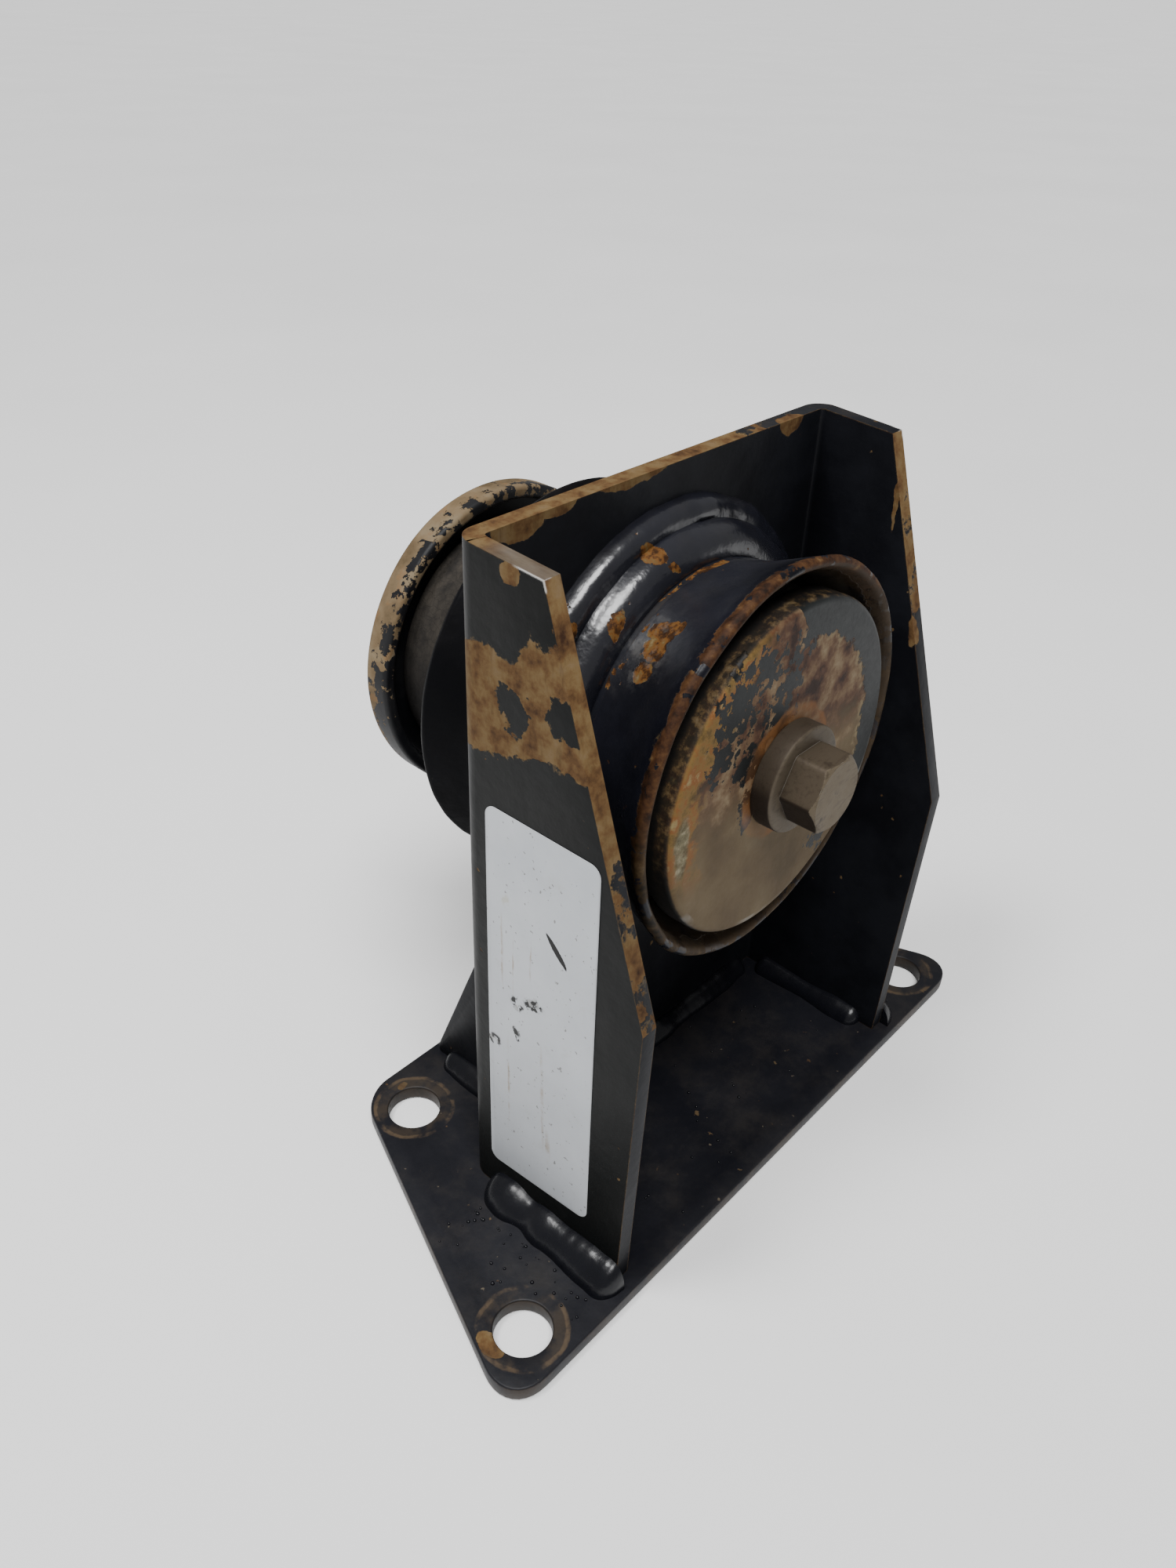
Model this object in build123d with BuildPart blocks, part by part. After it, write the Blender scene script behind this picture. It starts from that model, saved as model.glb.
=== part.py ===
from build123d import *
import os

# Engine mounting bracket: a base plate and a bent channel upright carry a welded barrel,
# whose bonded rubber holds a through-bolted core between two snubber discs.
# Millimetres. +Z is up, -Y is the front, the origin is on the base underside, below the
# web's front face.

# Driving dimensions -------------------------------------------------------------------
SHEET = 6.0                # base plate, upright and gussets are one gauge
UPRIGHT_W = 172.0          # over the two cheeks
UPRIGHT_H = 256.5          # top of the web
CHEEK_TOP_DROP = 2.0       # the cheek's front corner is a little lower than the web
CHEEK_TOP_D = 28.0         # cheek depth in front of the web, at the top
CHEEK_MID_D = 69.5         # at its widest
CHEEK_MID_Z = 126.0
CHEEK_FOOT_D = 66.0
BEND_R = 7.5               # outside of the bend
BEND_R_IN = 1.5
EDGE_R = 0.8

PLATE_FRONT = 72.3         # front edge, in front of the web
PLATE_BACK = 61.0
PLATE_FRONT_HALF = 144.4   # half width at the front edge, before rounding
PLATE_BACK_HALF = 93.1
PLATE_FRONT_R = 12.0
PLATE_BACK_R = 16.0
HOLE_R = 10.0
FRONT_HOLE = (120.0, -55.0)
BACK_HOLE = (83.0, 42.0)

AXIS_Z = 169.5             # bolt and barrel axis
TUBE_R = 59.0
CUP_WALL = 5.0
COLLAR_R = 69.0
COLLAR_LEN = 15.5
RING_WELD = 6.5
COLLAR_FLAT = 7.0          # straight part of the collar, then a convex shoulder
COLLAR_SHOULDER = (12.7, 2.6)  # a point on it: distance from the web, drop from COLLAR_R
COLLAR_TOE = 1.5           # how far the shoulder's end stands off the tube
CUP_START = 17.5           # crease between collar and cup, in front of the web
CUP_OUTER = ((0.32, 61.0), (0.66, 65.0))  # share of the way to the lip, radius
CUP_INNER = ((0.34, 56.2), (0.70, 60.6))
FRONT_LIP_D = 47.0         # plane of the lip's largest radius, from the web's face
REAR_LIP_D = 35.5
LIP_R = 69.3
LIP_ROUND = (3.0, 1.4)     # the rounded edge's crest: beyond the lip plane, below LIP_R
LIP_INNER = (2.6, 4.3)     # where the inside face meets it

DISC_R = 58.2
DISC_T = 5.0
DISC_RIM = 11.0            # depth over the turned rim
DISC_ROUND = 3.0
DISC_TIP_ROUND = 1.8
DISC_BORE_R = 8.6
FRONT_DISC_Y = -52.5       # outer face
REAR_DISC_Y = 84.5
WASHER_R = 18.5
WASHER_T = 7.5
WASHER_BORE_R = 8.5
BOLT_R = 8.0               # M16
BOLT_END_R = 7.9           # thread crests past the nut
BOLT_END_CHAMFER = 1.2
BOLT_AF = 24.0
HEAD_H = 12.2
NUT_H = 13.0
HEX_CHAMFER = 1.6          # depth of the round chamfer on a hexagon's outer end
HEX_CROWN = 0.97           # its circle at the end, as a share of the half width over flats
BOLT_END_Y = 118.0
SLEEVE_R = 14.0
SLEEVE_BORE_R = 8.3
CONE_ROOT_R = 20.0         # inner cone, small and large end
CONE_END_R = 38.0
BULGE_R = 47.0             # rubber squeezed out behind the rear cup
BULGE_ROUND = 2.5
SOFT_GAP = 0.35            # rubber solids stand this far off the steel they are bonded to
FRONT_CONE_Y = (-8.0, -44.0)   # root and end of each inner cone
REAR_CONE_ROOT_Y = 14.0
CONE_TAPER_D = 30.0
RUBBER_SPLIT = (2.5, 3.5)  # where the two rubbers part, inside the web
FRONT_RUBBER_FACE = ((-38.5, 46.0), (-34.0, 56.2), (-27.5, 55.4))
REAR_RUBBER_FACE = ((58.0, 49.0), (44.0, 56.5), (33.5, 55.4))
BULGE_Y = 71.0
TUBE_STEP = 0.3            # the cup is a little tighter than the tube at the crease

GUSSET_X = 50.0            # inner face
GUSSET_FOOT_Y = 57.5
GUSSET_TOP = (17.0, 112.0)
GUSSET_NOSE = 4.0
CHEEK_WELD = 10.0
INNER_WELD = 6.0
GUSSET_WELD = 6.5
BEAD_CROWN = 0.62          # how far a bead's face bulges, as a share of its leg
CHEEK_WELD_Y = (-8.0, -68.0)
INNER_WELD_LEN = 53.0
BEAD_SPACE = 0.5           # between beads that meet at a corner
GUSSET_FOOT_WELD = (51.5, 36.0)    # rear end's Y, and length
GUSSET_WALL_WELD = (20.0, 80.0)    # foot's Z, and length
GUSSET_WALL_LEG = 5.0

LABEL_T = 0.3
LABEL_CORNERS = ((-5.5, 177.0), (-51.2, 177.0), (-51.6, 26.0), (-5.5, 21.0))
LABEL_R = 4.0

# Derived ------------------------------------------------------------------------------
HALF_W = UPRIGHT_W / 2
INNER_HALF = HALF_W - SHEET
TUBE_IN_R = TUBE_R - CUP_WALL
FRONT_DISC_IN = FRONT_DISC_Y + DISC_T
REAR_DISC_IN = REAR_DISC_Y - DISC_T
HEAD_SEAT_Y = FRONT_DISC_Y - WASHER_T
NUT_SEAT_Y = REAR_DISC_Y + WASHER_T
BARREL_AXIS = Axis((0, 0, AXIS_Z), (0, 1, 0))
# Sketch plane for turned parts: local x is the row's Y, local y is the radius.
TURN = Plane(origin=(0, 0, AXIS_Z), x_dir=(0, 1, 0), z_dir=(1, 0, 0))
# Sketch plane for side profiles: local x is the row's Y, local y is its Z.
SIDE = Plane(origin=(0, 0, 0), x_dir=(0, 1, 0), z_dir=(1, 0, 0))
FRONT, REAR = -1, 1


def ahead(distance, side):
    """Y at a distance in front of the web's front face, or behind its back face."""
    return -distance if side == FRONT else SHEET + distance


def across(y):
    """Plane normal to the bolt axis at y, facing the front, local y up."""
    return Plane(origin=(0, y, AXIS_Z), x_dir=(1, 0, 0), z_dir=(0, -1, 0))


def ring(y0, y1, r_in, r_out):
    """A plain turned ring from y0 to y1."""
    with BuildPart() as solid:
        with BuildSketch(TURN):
            with Locations(((y0 + y1) / 2, (r_in + r_out) / 2)):
                Rectangle(abs(y1 - y0), r_out - r_in)
        revolve(axis=BARREL_AXIS)
    return solid.part


def foot_bead(corner, grow, leg, length):
    """A fillet weld on the plate against a wall. It grows towards grow and runs along
    grow x Z, and its face is convex."""
    return bead(Plane(origin=corner, x_dir=grow, z_dir=Vector(*grow).cross(Vector(0, 0, 1))), leg, length)


def bead(plane, leg, length):
    """A fillet weld with its legs along the plane's local x and y, run along its z."""
    crown = leg * BEAD_CROWN
    with BuildPart() as run:
        with BuildSketch(plane):
            with BuildLine():
                Polyline((0, leg), (0, 0), (leg, 0))
                ThreePointArc((leg, 0), (crown, crown), (0, leg))
            make_face()
        extrude(amount=length)
    return run.part


def mirrored(part):
    """The left-hand twin of a right-hand piece."""
    return mirror(part, about=Plane.YZ, mode=Mode.PRIVATE)


# Base plate ---------------------------------------------------------------------------
with BuildPart() as base_plate:
    with BuildSketch() as plate_plan:
        with BuildLine():
            Polyline(
                (-PLATE_FRONT_HALF, -PLATE_FRONT),
                (PLATE_FRONT_HALF, -PLATE_FRONT),
                (PLATE_BACK_HALF, PLATE_BACK),
                (-PLATE_BACK_HALF, PLATE_BACK),
                close=True,
            )
        make_face()
        fillet(plate_plan.vertices().group_by(Axis.Y)[0], PLATE_FRONT_R)
        fillet(plate_plan.vertices().group_by(Axis.Y)[-1], PLATE_BACK_R)
    extrude(amount=SHEET)
    chamfer(base_plate.edges().filter_by(Plane.XY), EDGE_R)
    with Locations(FRONT_HOLE, (-FRONT_HOLE[0], FRONT_HOLE[1]), BACK_HOLE, (-BACK_HOLE[0], BACK_HOLE[1])):
        Hole(HOLE_R)
base_plate.part.label = "base_plate"

# Upright: one bent sheet, a web and two cheeks ------------------------------------------
with BuildPart() as upright_channel:
    with BuildSketch(Plane.XY.offset(SHEET)) as channel_plan:
        with BuildLine():
            Polyline(
                (-HALF_W, -CHEEK_MID_D), (-HALF_W, SHEET), (HALF_W, SHEET), (HALF_W, -CHEEK_MID_D),
                (INNER_HALF, -CHEEK_MID_D), (INNER_HALF, 0), (-INNER_HALF, 0), (-INNER_HALF, -CHEEK_MID_D),
                close=True,
            )
        make_face()
        fillet(channel_plan.vertices().group_by(Axis.Y)[-1], BEND_R)
        fillet(channel_plan.vertices().filter_by_position(Axis.Y, -0.1, 0.1), BEND_R_IN)
    extrude(amount=UPRIGHT_H - SHEET)
    with BuildSketch(SIDE):
        with BuildLine():
            Polyline(
                (SHEET, SHEET), (SHEET, UPRIGHT_H), (0, UPRIGHT_H),
                (-CHEEK_TOP_D, UPRIGHT_H - CHEEK_TOP_DROP),
                (-CHEEK_MID_D, CHEEK_MID_Z),
                (-CHEEK_FOOT_D, SHEET),
                close=True,
            )
        make_face()
    extrude(amount=HALF_W, both=True, mode=Mode.INTERSECT)
    with BuildSketch(across(SHEET)):
        Circle(TUBE_R)
    extrude(amount=SHEET, mode=Mode.SUBTRACT)
upright_channel.part.label = "upright_channel"

# Rear gussets -------------------------------------------------------------------------
with BuildPart() as right_gusset:
    with BuildSketch(SIDE.offset(GUSSET_X)):
        with BuildLine():
            Polyline(
                (SHEET, SHEET), (GUSSET_FOOT_Y, SHEET), (GUSSET_FOOT_Y, SHEET + GUSSET_NOSE),
                GUSSET_TOP, (SHEET, GUSSET_TOP[1]),
                close=True,
            )
        make_face()
    extrude(amount=SHEET)
right_gusset.part.label = "right_gusset"

with BuildPart() as left_gusset:
    add(mirrored(right_gusset.part))
left_gusset.part.label = "left_gusset"

# Foot welds ---------------------------------------------------------------------------
CHEEK_WELD_LEN = CHEEK_WELD_Y[0] - CHEEK_WELD_Y[1]
INNER_WELD_Y = -INNER_WELD - BEAD_SPACE
WEB_BEAD_HALF = INNER_HALF - INNER_WELD - BEAD_SPACE
REAR_BEAD_HALF = GUSSET_X - BEAD_SPACE
GUSSET_OUT = GUSSET_X + SHEET

with BuildPart() as right_cheek_weld:
    add(foot_bead((HALF_W, CHEEK_WELD_Y[0], SHEET), (1, 0, 0), CHEEK_WELD, CHEEK_WELD_LEN))
right_cheek_weld.part.label = "right_cheek_weld"

with BuildPart() as left_cheek_weld:
    add(mirrored(right_cheek_weld.part))
left_cheek_weld.part.label = "left_cheek_weld"

with BuildPart() as left_inner_weld:
    add(foot_bead((-INNER_HALF, INNER_WELD_Y, SHEET), (1, 0, 0), INNER_WELD, INNER_WELD_LEN))
left_inner_weld.part.label = "left_inner_weld"

with BuildPart() as right_inner_weld:
    add(mirrored(left_inner_weld.part))
right_inner_weld.part.label = "right_inner_weld"

with BuildPart() as web_front_weld:
    add(foot_bead((WEB_BEAD_HALF, 0, SHEET), (0, -1, 0), INNER_WELD, 2 * WEB_BEAD_HALF))
web_front_weld.part.label = "web_front_weld"

with BuildPart() as web_rear_weld:
    add(foot_bead((-REAR_BEAD_HALF, SHEET, SHEET), (0, 1, 0), INNER_WELD, 2 * REAR_BEAD_HALF))
web_rear_weld.part.label = "web_rear_weld"

with BuildPart() as right_gusset_weld:
    add(foot_bead((GUSSET_OUT, GUSSET_FOOT_WELD[0], SHEET), (1, 0, 0), GUSSET_WELD, GUSSET_FOOT_WELD[1]))
    wall_corner = Plane(origin=(GUSSET_OUT, SHEET, GUSSET_WALL_WELD[0]), x_dir=(1, 0, 0), z_dir=(0, 0, 1))
    add(bead(wall_corner, GUSSET_WALL_LEG, GUSSET_WALL_WELD[1]))
right_gusset_weld.part.label = "right_gusset_weld"

with BuildPart() as left_gusset_weld:
    add(mirrored(right_gusset_weld.part))
left_gusset_weld.part.label = "left_gusset_weld"

# Barrel: tube through the web, a collar and ring weld on each side, a flared cup each end ---
with BuildPart() as housing_tube:
    add(ring(ahead(CUP_START, FRONT), ahead(CUP_START, REAR), TUBE_IN_R, TUBE_R))
housing_tube.part.label = "housing_tube"


def collar(side):
    """The stepped ring between the web and the crease, shouldered towards the cup."""
    with BuildPart() as solid:
        with BuildSketch(TURN):
            with BuildLine():
                Polyline(
                    (ahead(COLLAR_LEN, side), TUBE_R + COLLAR_TOE), (ahead(COLLAR_LEN, side), TUBE_R),
                    (ahead(0, side), TUBE_R), (ahead(0, side), COLLAR_R), (ahead(COLLAR_FLAT, side), COLLAR_R),
                )
                ThreePointArc(
                    (ahead(COLLAR_FLAT, side), COLLAR_R),
                    (ahead(COLLAR_SHOULDER[0], side), COLLAR_R - COLLAR_SHOULDER[1]),
                    (ahead(COLLAR_LEN, side), TUBE_R + COLLAR_TOE),
                )
            make_face()
        revolve(axis=BARREL_AXIS)
    return solid.part


def ring_weld(side):
    """The fillet bead between the web and the collar."""
    with BuildPart() as solid:
        with BuildSketch(TURN):
            with BuildLine():
                Polyline(
                    (ahead(RING_WELD, side), COLLAR_R), (ahead(0, side), COLLAR_R),
                    (ahead(0, side), COLLAR_R + RING_WELD),
                )
                ThreePointArc(
                    (ahead(0, side), COLLAR_R + RING_WELD),
                    (ahead(RING_WELD * BEAD_CROWN, side), COLLAR_R + RING_WELD * BEAD_CROWN),
                    (ahead(RING_WELD, side), COLLAR_R),
                )
            make_face()
        revolve(axis=BARREL_AXIS)
    return solid.part


def cup(side, lip_d):
    """A pressed cup that flares from the crease to a rounded lip."""

    def part_way(share, radius):
        return (ahead(CUP_START + share * (lip_d - CUP_START), side), radius)

    inner_end = (ahead(lip_d + LIP_INNER[0], side), LIP_R - LIP_INNER[1])
    with BuildPart() as solid:
        with BuildSketch(TURN):
            with BuildLine():
                outer = Spline(
                    part_way(0, TUBE_R), *(part_way(*point) for point in CUP_OUTER), part_way(1, LIP_R)
                )
                inner = Spline(
                    part_way(0, TUBE_IN_R), *(part_way(*point) for point in CUP_INNER), inner_end
                )
                crest = (ahead(lip_d + LIP_ROUND[0], side), LIP_R - LIP_ROUND[1])
                ThreePointArc(outer @ 1, crest, inner @ 1)
                Line(outer @ 0, inner @ 0)
            make_face()
        revolve(axis=BARREL_AXIS)
    return solid.part


with BuildPart() as front_collar:
    add(collar(FRONT))
front_collar.part.label = "front_collar"

with BuildPart() as rear_collar:
    add(collar(REAR))
rear_collar.part.label = "rear_collar"

with BuildPart() as front_ring_weld:
    add(ring_weld(FRONT))
front_ring_weld.part.label = "front_ring_weld"

with BuildPart() as rear_ring_weld:
    add(ring_weld(REAR))
rear_ring_weld.part.label = "rear_ring_weld"

with BuildPart() as front_cup:
    add(cup(FRONT, FRONT_LIP_D))
front_cup.part.label = "front_cup"

with BuildPart() as rear_cup:
    add(cup(REAR, REAR_LIP_D))
rear_cup.part.label = "rear_cup"

# Core: sleeve, bonded cones, snubber discs and their bolt ---------------------------------
REAR_CONE_Y = (REAR_CONE_ROOT_Y, REAR_DISC_IN)


def inner_cone(root_y, end_y, taper_to):
    """The steel cone that the rubber is bonded to: tapered, then straight to its end."""
    with BuildPart() as solid:
        with BuildSketch(TURN):
            with BuildLine():
                Polyline(
                    (root_y, SLEEVE_R), (root_y, CONE_ROOT_R), (taper_to, CONE_END_R),
                    (end_y, CONE_END_R), (end_y, SLEEVE_R),
                    close=True,
                )
            make_face()
        revolve(axis=BARREL_AXIS)
    return solid.part


def snubber_disc(face_y, side):
    """A pressed disc with its rim turned towards the rubber."""
    tip = face_y - side * DISC_RIM
    back = face_y - side * DISC_T
    with BuildPart() as solid:
        with BuildSketch(TURN) as profile:
            with BuildLine():
                Polyline(
                    (face_y, DISC_BORE_R), (face_y, DISC_R), (tip, DISC_R), (tip, DISC_R - DISC_T),
                    (back, DISC_R - DISC_T), (back, DISC_BORE_R),
                    close=True,
                )
            make_face()
            shoulder = profile.vertices().group_by(Axis.Y)[-1].sort_by(lambda v: abs(v.X - face_y))[0]
            fillet(shoulder, DISC_ROUND)
            fillet(profile.vertices().filter_by_position(Axis.X, tip - 0.1, tip + 0.1), DISC_TIP_ROUND)
        revolve(axis=BARREL_AXIS)
    return solid.part


with BuildPart() as inner_sleeve:
    add(ring(FRONT_DISC_IN, REAR_DISC_IN, SLEEVE_BORE_R, SLEEVE_R))
inner_sleeve.part.label = "inner_sleeve"

with BuildPart() as front_inner_cone:
    add(inner_cone(*FRONT_CONE_Y, FRONT_CONE_Y[0] - CONE_TAPER_D))
front_inner_cone.part.label = "front_inner_cone"

with BuildPart() as rear_inner_cone:
    add(inner_cone(*REAR_CONE_Y, REAR_CONE_Y[0] + CONE_TAPER_D))
rear_inner_cone.part.label = "rear_inner_cone"

with BuildPart() as front_snubber_disc:
    add(snubber_disc(FRONT_DISC_Y, FRONT))
front_snubber_disc.part.label = "front_snubber_disc"

with BuildPart() as rear_snubber_disc:
    add(snubber_disc(REAR_DISC_Y, REAR))
rear_snubber_disc.part.label = "rear_snubber_disc"

with BuildPart() as front_washer:
    add(ring(FRONT_DISC_Y, HEAD_SEAT_Y, WASHER_BORE_R, WASHER_R))
    chamfer(front_washer.edges().filter_by(GeomType.CIRCLE).sort_by(SortBy.RADIUS)[-2:], EDGE_R)
front_washer.part.label = "front_washer"

with BuildPart() as rear_washer:
    add(ring(REAR_DISC_Y, NUT_SEAT_Y, WASHER_BORE_R, WASHER_R))
    chamfer(rear_washer.edges().filter_by(GeomType.CIRCLE).sort_by(SortBy.RADIUS)[-2:], EDGE_R)
rear_washer.part.label = "rear_washer"


def hexagon(seat_y, height, side):
    """A hexagon with a corner up and its outer end chamfered round."""
    end_y = seat_y + side * height
    corner_r = BOLT_AF / 3 ** 0.5
    flat_r = BOLT_AF / 2
    with BuildPart() as solid:
        with BuildSketch(across(seat_y)):
            RegularPolygon(flat_r, 6, major_radius=False, rotation=30)
        extrude(amount=-side * height)
        with BuildSketch(TURN):
            with BuildLine():
                Polyline(
                    (seat_y, 0), (seat_y, 2 * corner_r), (end_y - side * HEX_CHAMFER, 2 * corner_r),
                    (end_y - side * HEX_CHAMFER, corner_r), (end_y, flat_r * HEX_CROWN), (end_y, 0),
                    close=True,
                )
            make_face()
        revolve(axis=BARREL_AXIS, mode=Mode.INTERSECT)
    return solid.part


with BuildPart() as centre_bolt:
    add(hexagon(HEAD_SEAT_Y, HEAD_H, FRONT))
    with BuildSketch(across(HEAD_SEAT_Y)):
        Circle(BOLT_R)
    extrude(amount=-(NUT_SEAT_Y + NUT_H - HEAD_SEAT_Y))
    with BuildSketch(across(NUT_SEAT_Y + NUT_H)):
        Circle(BOLT_END_R)
    extrude(amount=-(BOLT_END_Y - NUT_SEAT_Y - NUT_H))
    chamfer(centre_bolt.edges().filter_by(GeomType.CIRCLE).sort_by(Axis.Y)[-1], BOLT_END_CHAMFER)
centre_bolt.part.label = "centre_bolt"

with BuildPart() as lock_nut:
    add(hexagon(NUT_SEAT_Y, NUT_H, REAR))
    with BuildSketch(across(NUT_SEAT_Y)):
        Circle(BOLT_R)
    extrude(amount=-NUT_H, mode=Mode.SUBTRACT)
lock_nut.part.label = "lock_nut"

# Rubber: a bonded cone each side of the middle, the rear one bulging behind its cup --------
with BuildPart() as front_rubber:
    with BuildSketch(TURN):
        with BuildLine():
            Polyline(
                (RUBBER_SPLIT[0], SLEEVE_R + SOFT_GAP), (FRONT_CONE_Y[0] + SOFT_GAP, SLEEVE_R + SOFT_GAP),
                (FRONT_CONE_Y[0] + SOFT_GAP, CONE_ROOT_R + SOFT_GAP),
                (FRONT_CONE_Y[0] - CONE_TAPER_D, CONE_END_R + SOFT_GAP),
                (FRONT_RUBBER_FACE[0][0], CONE_END_R + SOFT_GAP), *FRONT_RUBBER_FACE,
                (-CUP_START, TUBE_IN_R - SOFT_GAP - TUBE_STEP), (RUBBER_SPLIT[0], TUBE_IN_R - SOFT_GAP),
                close=True,
            )
        make_face()
    revolve(axis=BARREL_AXIS)
front_rubber.part.label = "front_rubber"

BULGE_FOOT = (REAR_DISC_IN - SOFT_GAP, BULGE_R - BULGE_ROUND)

with BuildPart() as rear_rubber:
    with BuildSketch(TURN):
        with BuildLine():
            Polyline(
                (RUBBER_SPLIT[1], SLEEVE_R + SOFT_GAP), (REAR_CONE_Y[0] - SOFT_GAP, SLEEVE_R + SOFT_GAP),
                (REAR_CONE_Y[0] - SOFT_GAP, CONE_ROOT_R + SOFT_GAP),
                (REAR_CONE_Y[0] + CONE_TAPER_D, CONE_END_R + SOFT_GAP),
                (REAR_DISC_IN - SOFT_GAP, CONE_END_R + SOFT_GAP), BULGE_FOOT,
            )
            ThreePointArc(BULGE_FOOT, (BULGE_Y, BULGE_R), REAR_RUBBER_FACE[0])
            Polyline(
                *REAR_RUBBER_FACE, (SHEET + CUP_START, TUBE_IN_R - SOFT_GAP - TUBE_STEP),
                (RUBBER_SPLIT[1], TUBE_IN_R - SOFT_GAP), (RUBBER_SPLIT[1], SLEEVE_R + SOFT_GAP),
            )
        make_face()
    revolve(axis=BARREL_AXIS)
rear_rubber.part.label = "rear_rubber"

# Label --------------------------------------------------------------------------------
with BuildPart() as label:
    with BuildSketch(SIDE.offset(-HALF_W - LABEL_T)) as label_face:
        with BuildLine():
            Polyline(*LABEL_CORNERS, close=True)
        make_face()
        fillet(label_face.vertices(), LABEL_R)
    extrude(amount=LABEL_T)
label.part.label = "label"

# Export -------------------------------------------------------------------------------
os.makedirs("parts", exist_ok=True)
for piece in (
    base_plate, upright_channel, left_gusset, right_gusset,
    left_cheek_weld, right_cheek_weld, left_inner_weld, right_inner_weld,
    web_front_weld, web_rear_weld, left_gusset_weld, right_gusset_weld,
    housing_tube, front_collar, rear_collar, front_ring_weld, rear_ring_weld, front_cup, rear_cup,
    inner_sleeve, front_inner_cone, rear_inner_cone, front_snubber_disc, rear_snubber_disc,
    front_washer, rear_washer, centre_bolt, lock_nut, front_rubber, rear_rubber, label,
):
    export_step(piece.part, f"parts/{piece.part.label}.step")
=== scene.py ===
"""Looks of a welded engine-mount bracket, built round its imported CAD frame.

A base plate and a bent channel upright carry a barrel with a bonded rubber mount, two
snubber discs and a through bolt. Lengths are in millimetres until a piece is finished.
"""

import logging
import math
from dataclasses import dataclass
from enum import Enum
from random import Random
from typing import Callable, Optional, Sequence, Union

import bmesh
import bpy
from mathutils import Matrix, Vector, noise

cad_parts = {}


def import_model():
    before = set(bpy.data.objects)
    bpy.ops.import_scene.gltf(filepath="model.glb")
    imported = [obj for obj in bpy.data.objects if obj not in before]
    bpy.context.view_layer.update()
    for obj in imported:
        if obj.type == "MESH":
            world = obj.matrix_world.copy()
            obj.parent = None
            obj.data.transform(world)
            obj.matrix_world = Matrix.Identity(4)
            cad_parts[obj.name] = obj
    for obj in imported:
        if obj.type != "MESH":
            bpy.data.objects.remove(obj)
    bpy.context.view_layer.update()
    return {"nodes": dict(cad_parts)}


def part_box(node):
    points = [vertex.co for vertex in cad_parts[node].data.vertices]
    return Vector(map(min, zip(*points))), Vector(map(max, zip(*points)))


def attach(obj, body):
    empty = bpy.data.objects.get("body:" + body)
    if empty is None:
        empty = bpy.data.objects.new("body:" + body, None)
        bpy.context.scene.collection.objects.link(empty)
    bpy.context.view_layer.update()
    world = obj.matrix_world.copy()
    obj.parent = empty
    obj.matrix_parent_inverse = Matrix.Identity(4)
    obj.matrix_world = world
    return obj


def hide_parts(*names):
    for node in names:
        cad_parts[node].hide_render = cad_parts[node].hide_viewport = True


LOG = logging.getLogger("mount")
MM = 0.001
FULL_TURN = 2 * math.pi
AXIS_Z = 169.5  # the barrel's axis above the plate's underside, in millimetres
NOWHERE = -1.0  # a depth that is outside everywhere
MERGE = 0.002  # vertices nearer than this become one
SIDES = (("left", -1.0), ("right", 1.0))

Colour = tuple[float, float, float]
Point = tuple[float, float]
Socket = bpy.types.NodeSocket


class End(Enum):
    """Which side of the web a barrel piece is on."""

    FRONT = -1
    REAR = 1


class Body(Enum):
    """The CAD bodies that pieces ride on."""

    BRACKET = "bracket"
    RUBBER = "rubber"
    CORE = "core"


class Slot(Enum):
    """Material slot names."""

    PAINT = "black_paint"
    WELD = "painted_weld"
    CUP = "rusty_cup"
    DISC = "rusty_disc"
    FASTENER = "fastener_steel"
    CORE = "core_steel"
    RUBBER = "rubber"
    LABEL = "label_film"


class Tone(Enum):
    """Colours that several finishes share."""

    BLACK = (0.0041, 0.0043, 0.0058)
    BLUE_BLACK = (0.0060, 0.0066, 0.011)
    SLATE = (0.0032, 0.0036, 0.0035)
    DARK_RUST = (0.0275, 0.0126, 0.0067)
    ORANGE = (0.165, 0.062, 0.016)
    OCHRE = (0.125, 0.080, 0.034)
    TAN = (0.145, 0.0994, 0.054)
    CREAM = (0.185, 0.145, 0.082)
    STEEL = (0.115, 0.100, 0.082)
    DUST = (0.085, 0.0703, 0.0518)


# Node graphs ---------------------------------------------------------------------------


class Mask:
    """What a node puts out: a number, a place or a colour. Numbers add and multiply."""

    def __init__(self, graph: "Graph", socket: Socket) -> None:
        """Wraps a node's output.

        Args:
            graph: the graph that the node is in.
            socket: the output.
        """
        self.graph, self.socket = graph, socket

    def __add__(self, other: "Value") -> "Mask":
        """Self plus other."""
        return self.graph.math("ADD", self, other)

    def __radd__(self, other: "Value") -> "Mask":
        """Other plus self."""
        return self.graph.math("ADD", other, self)

    def __sub__(self, other: "Value") -> "Mask":
        """Self minus other."""
        return self.graph.math("SUBTRACT", self, other)

    def __rsub__(self, other: "Value") -> "Mask":
        """Other minus self."""
        return self.graph.math("SUBTRACT", other, self)

    def __mul__(self, other: "Value") -> "Mask":
        """Self times other."""
        return self.graph.math("MULTIPLY", self, other)

    def __rmul__(self, other: "Value") -> "Mask":
        """Other times self."""
        return self.graph.math("MULTIPLY", other, self)


Value = Union[float, Colour, Socket, Mask]


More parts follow.
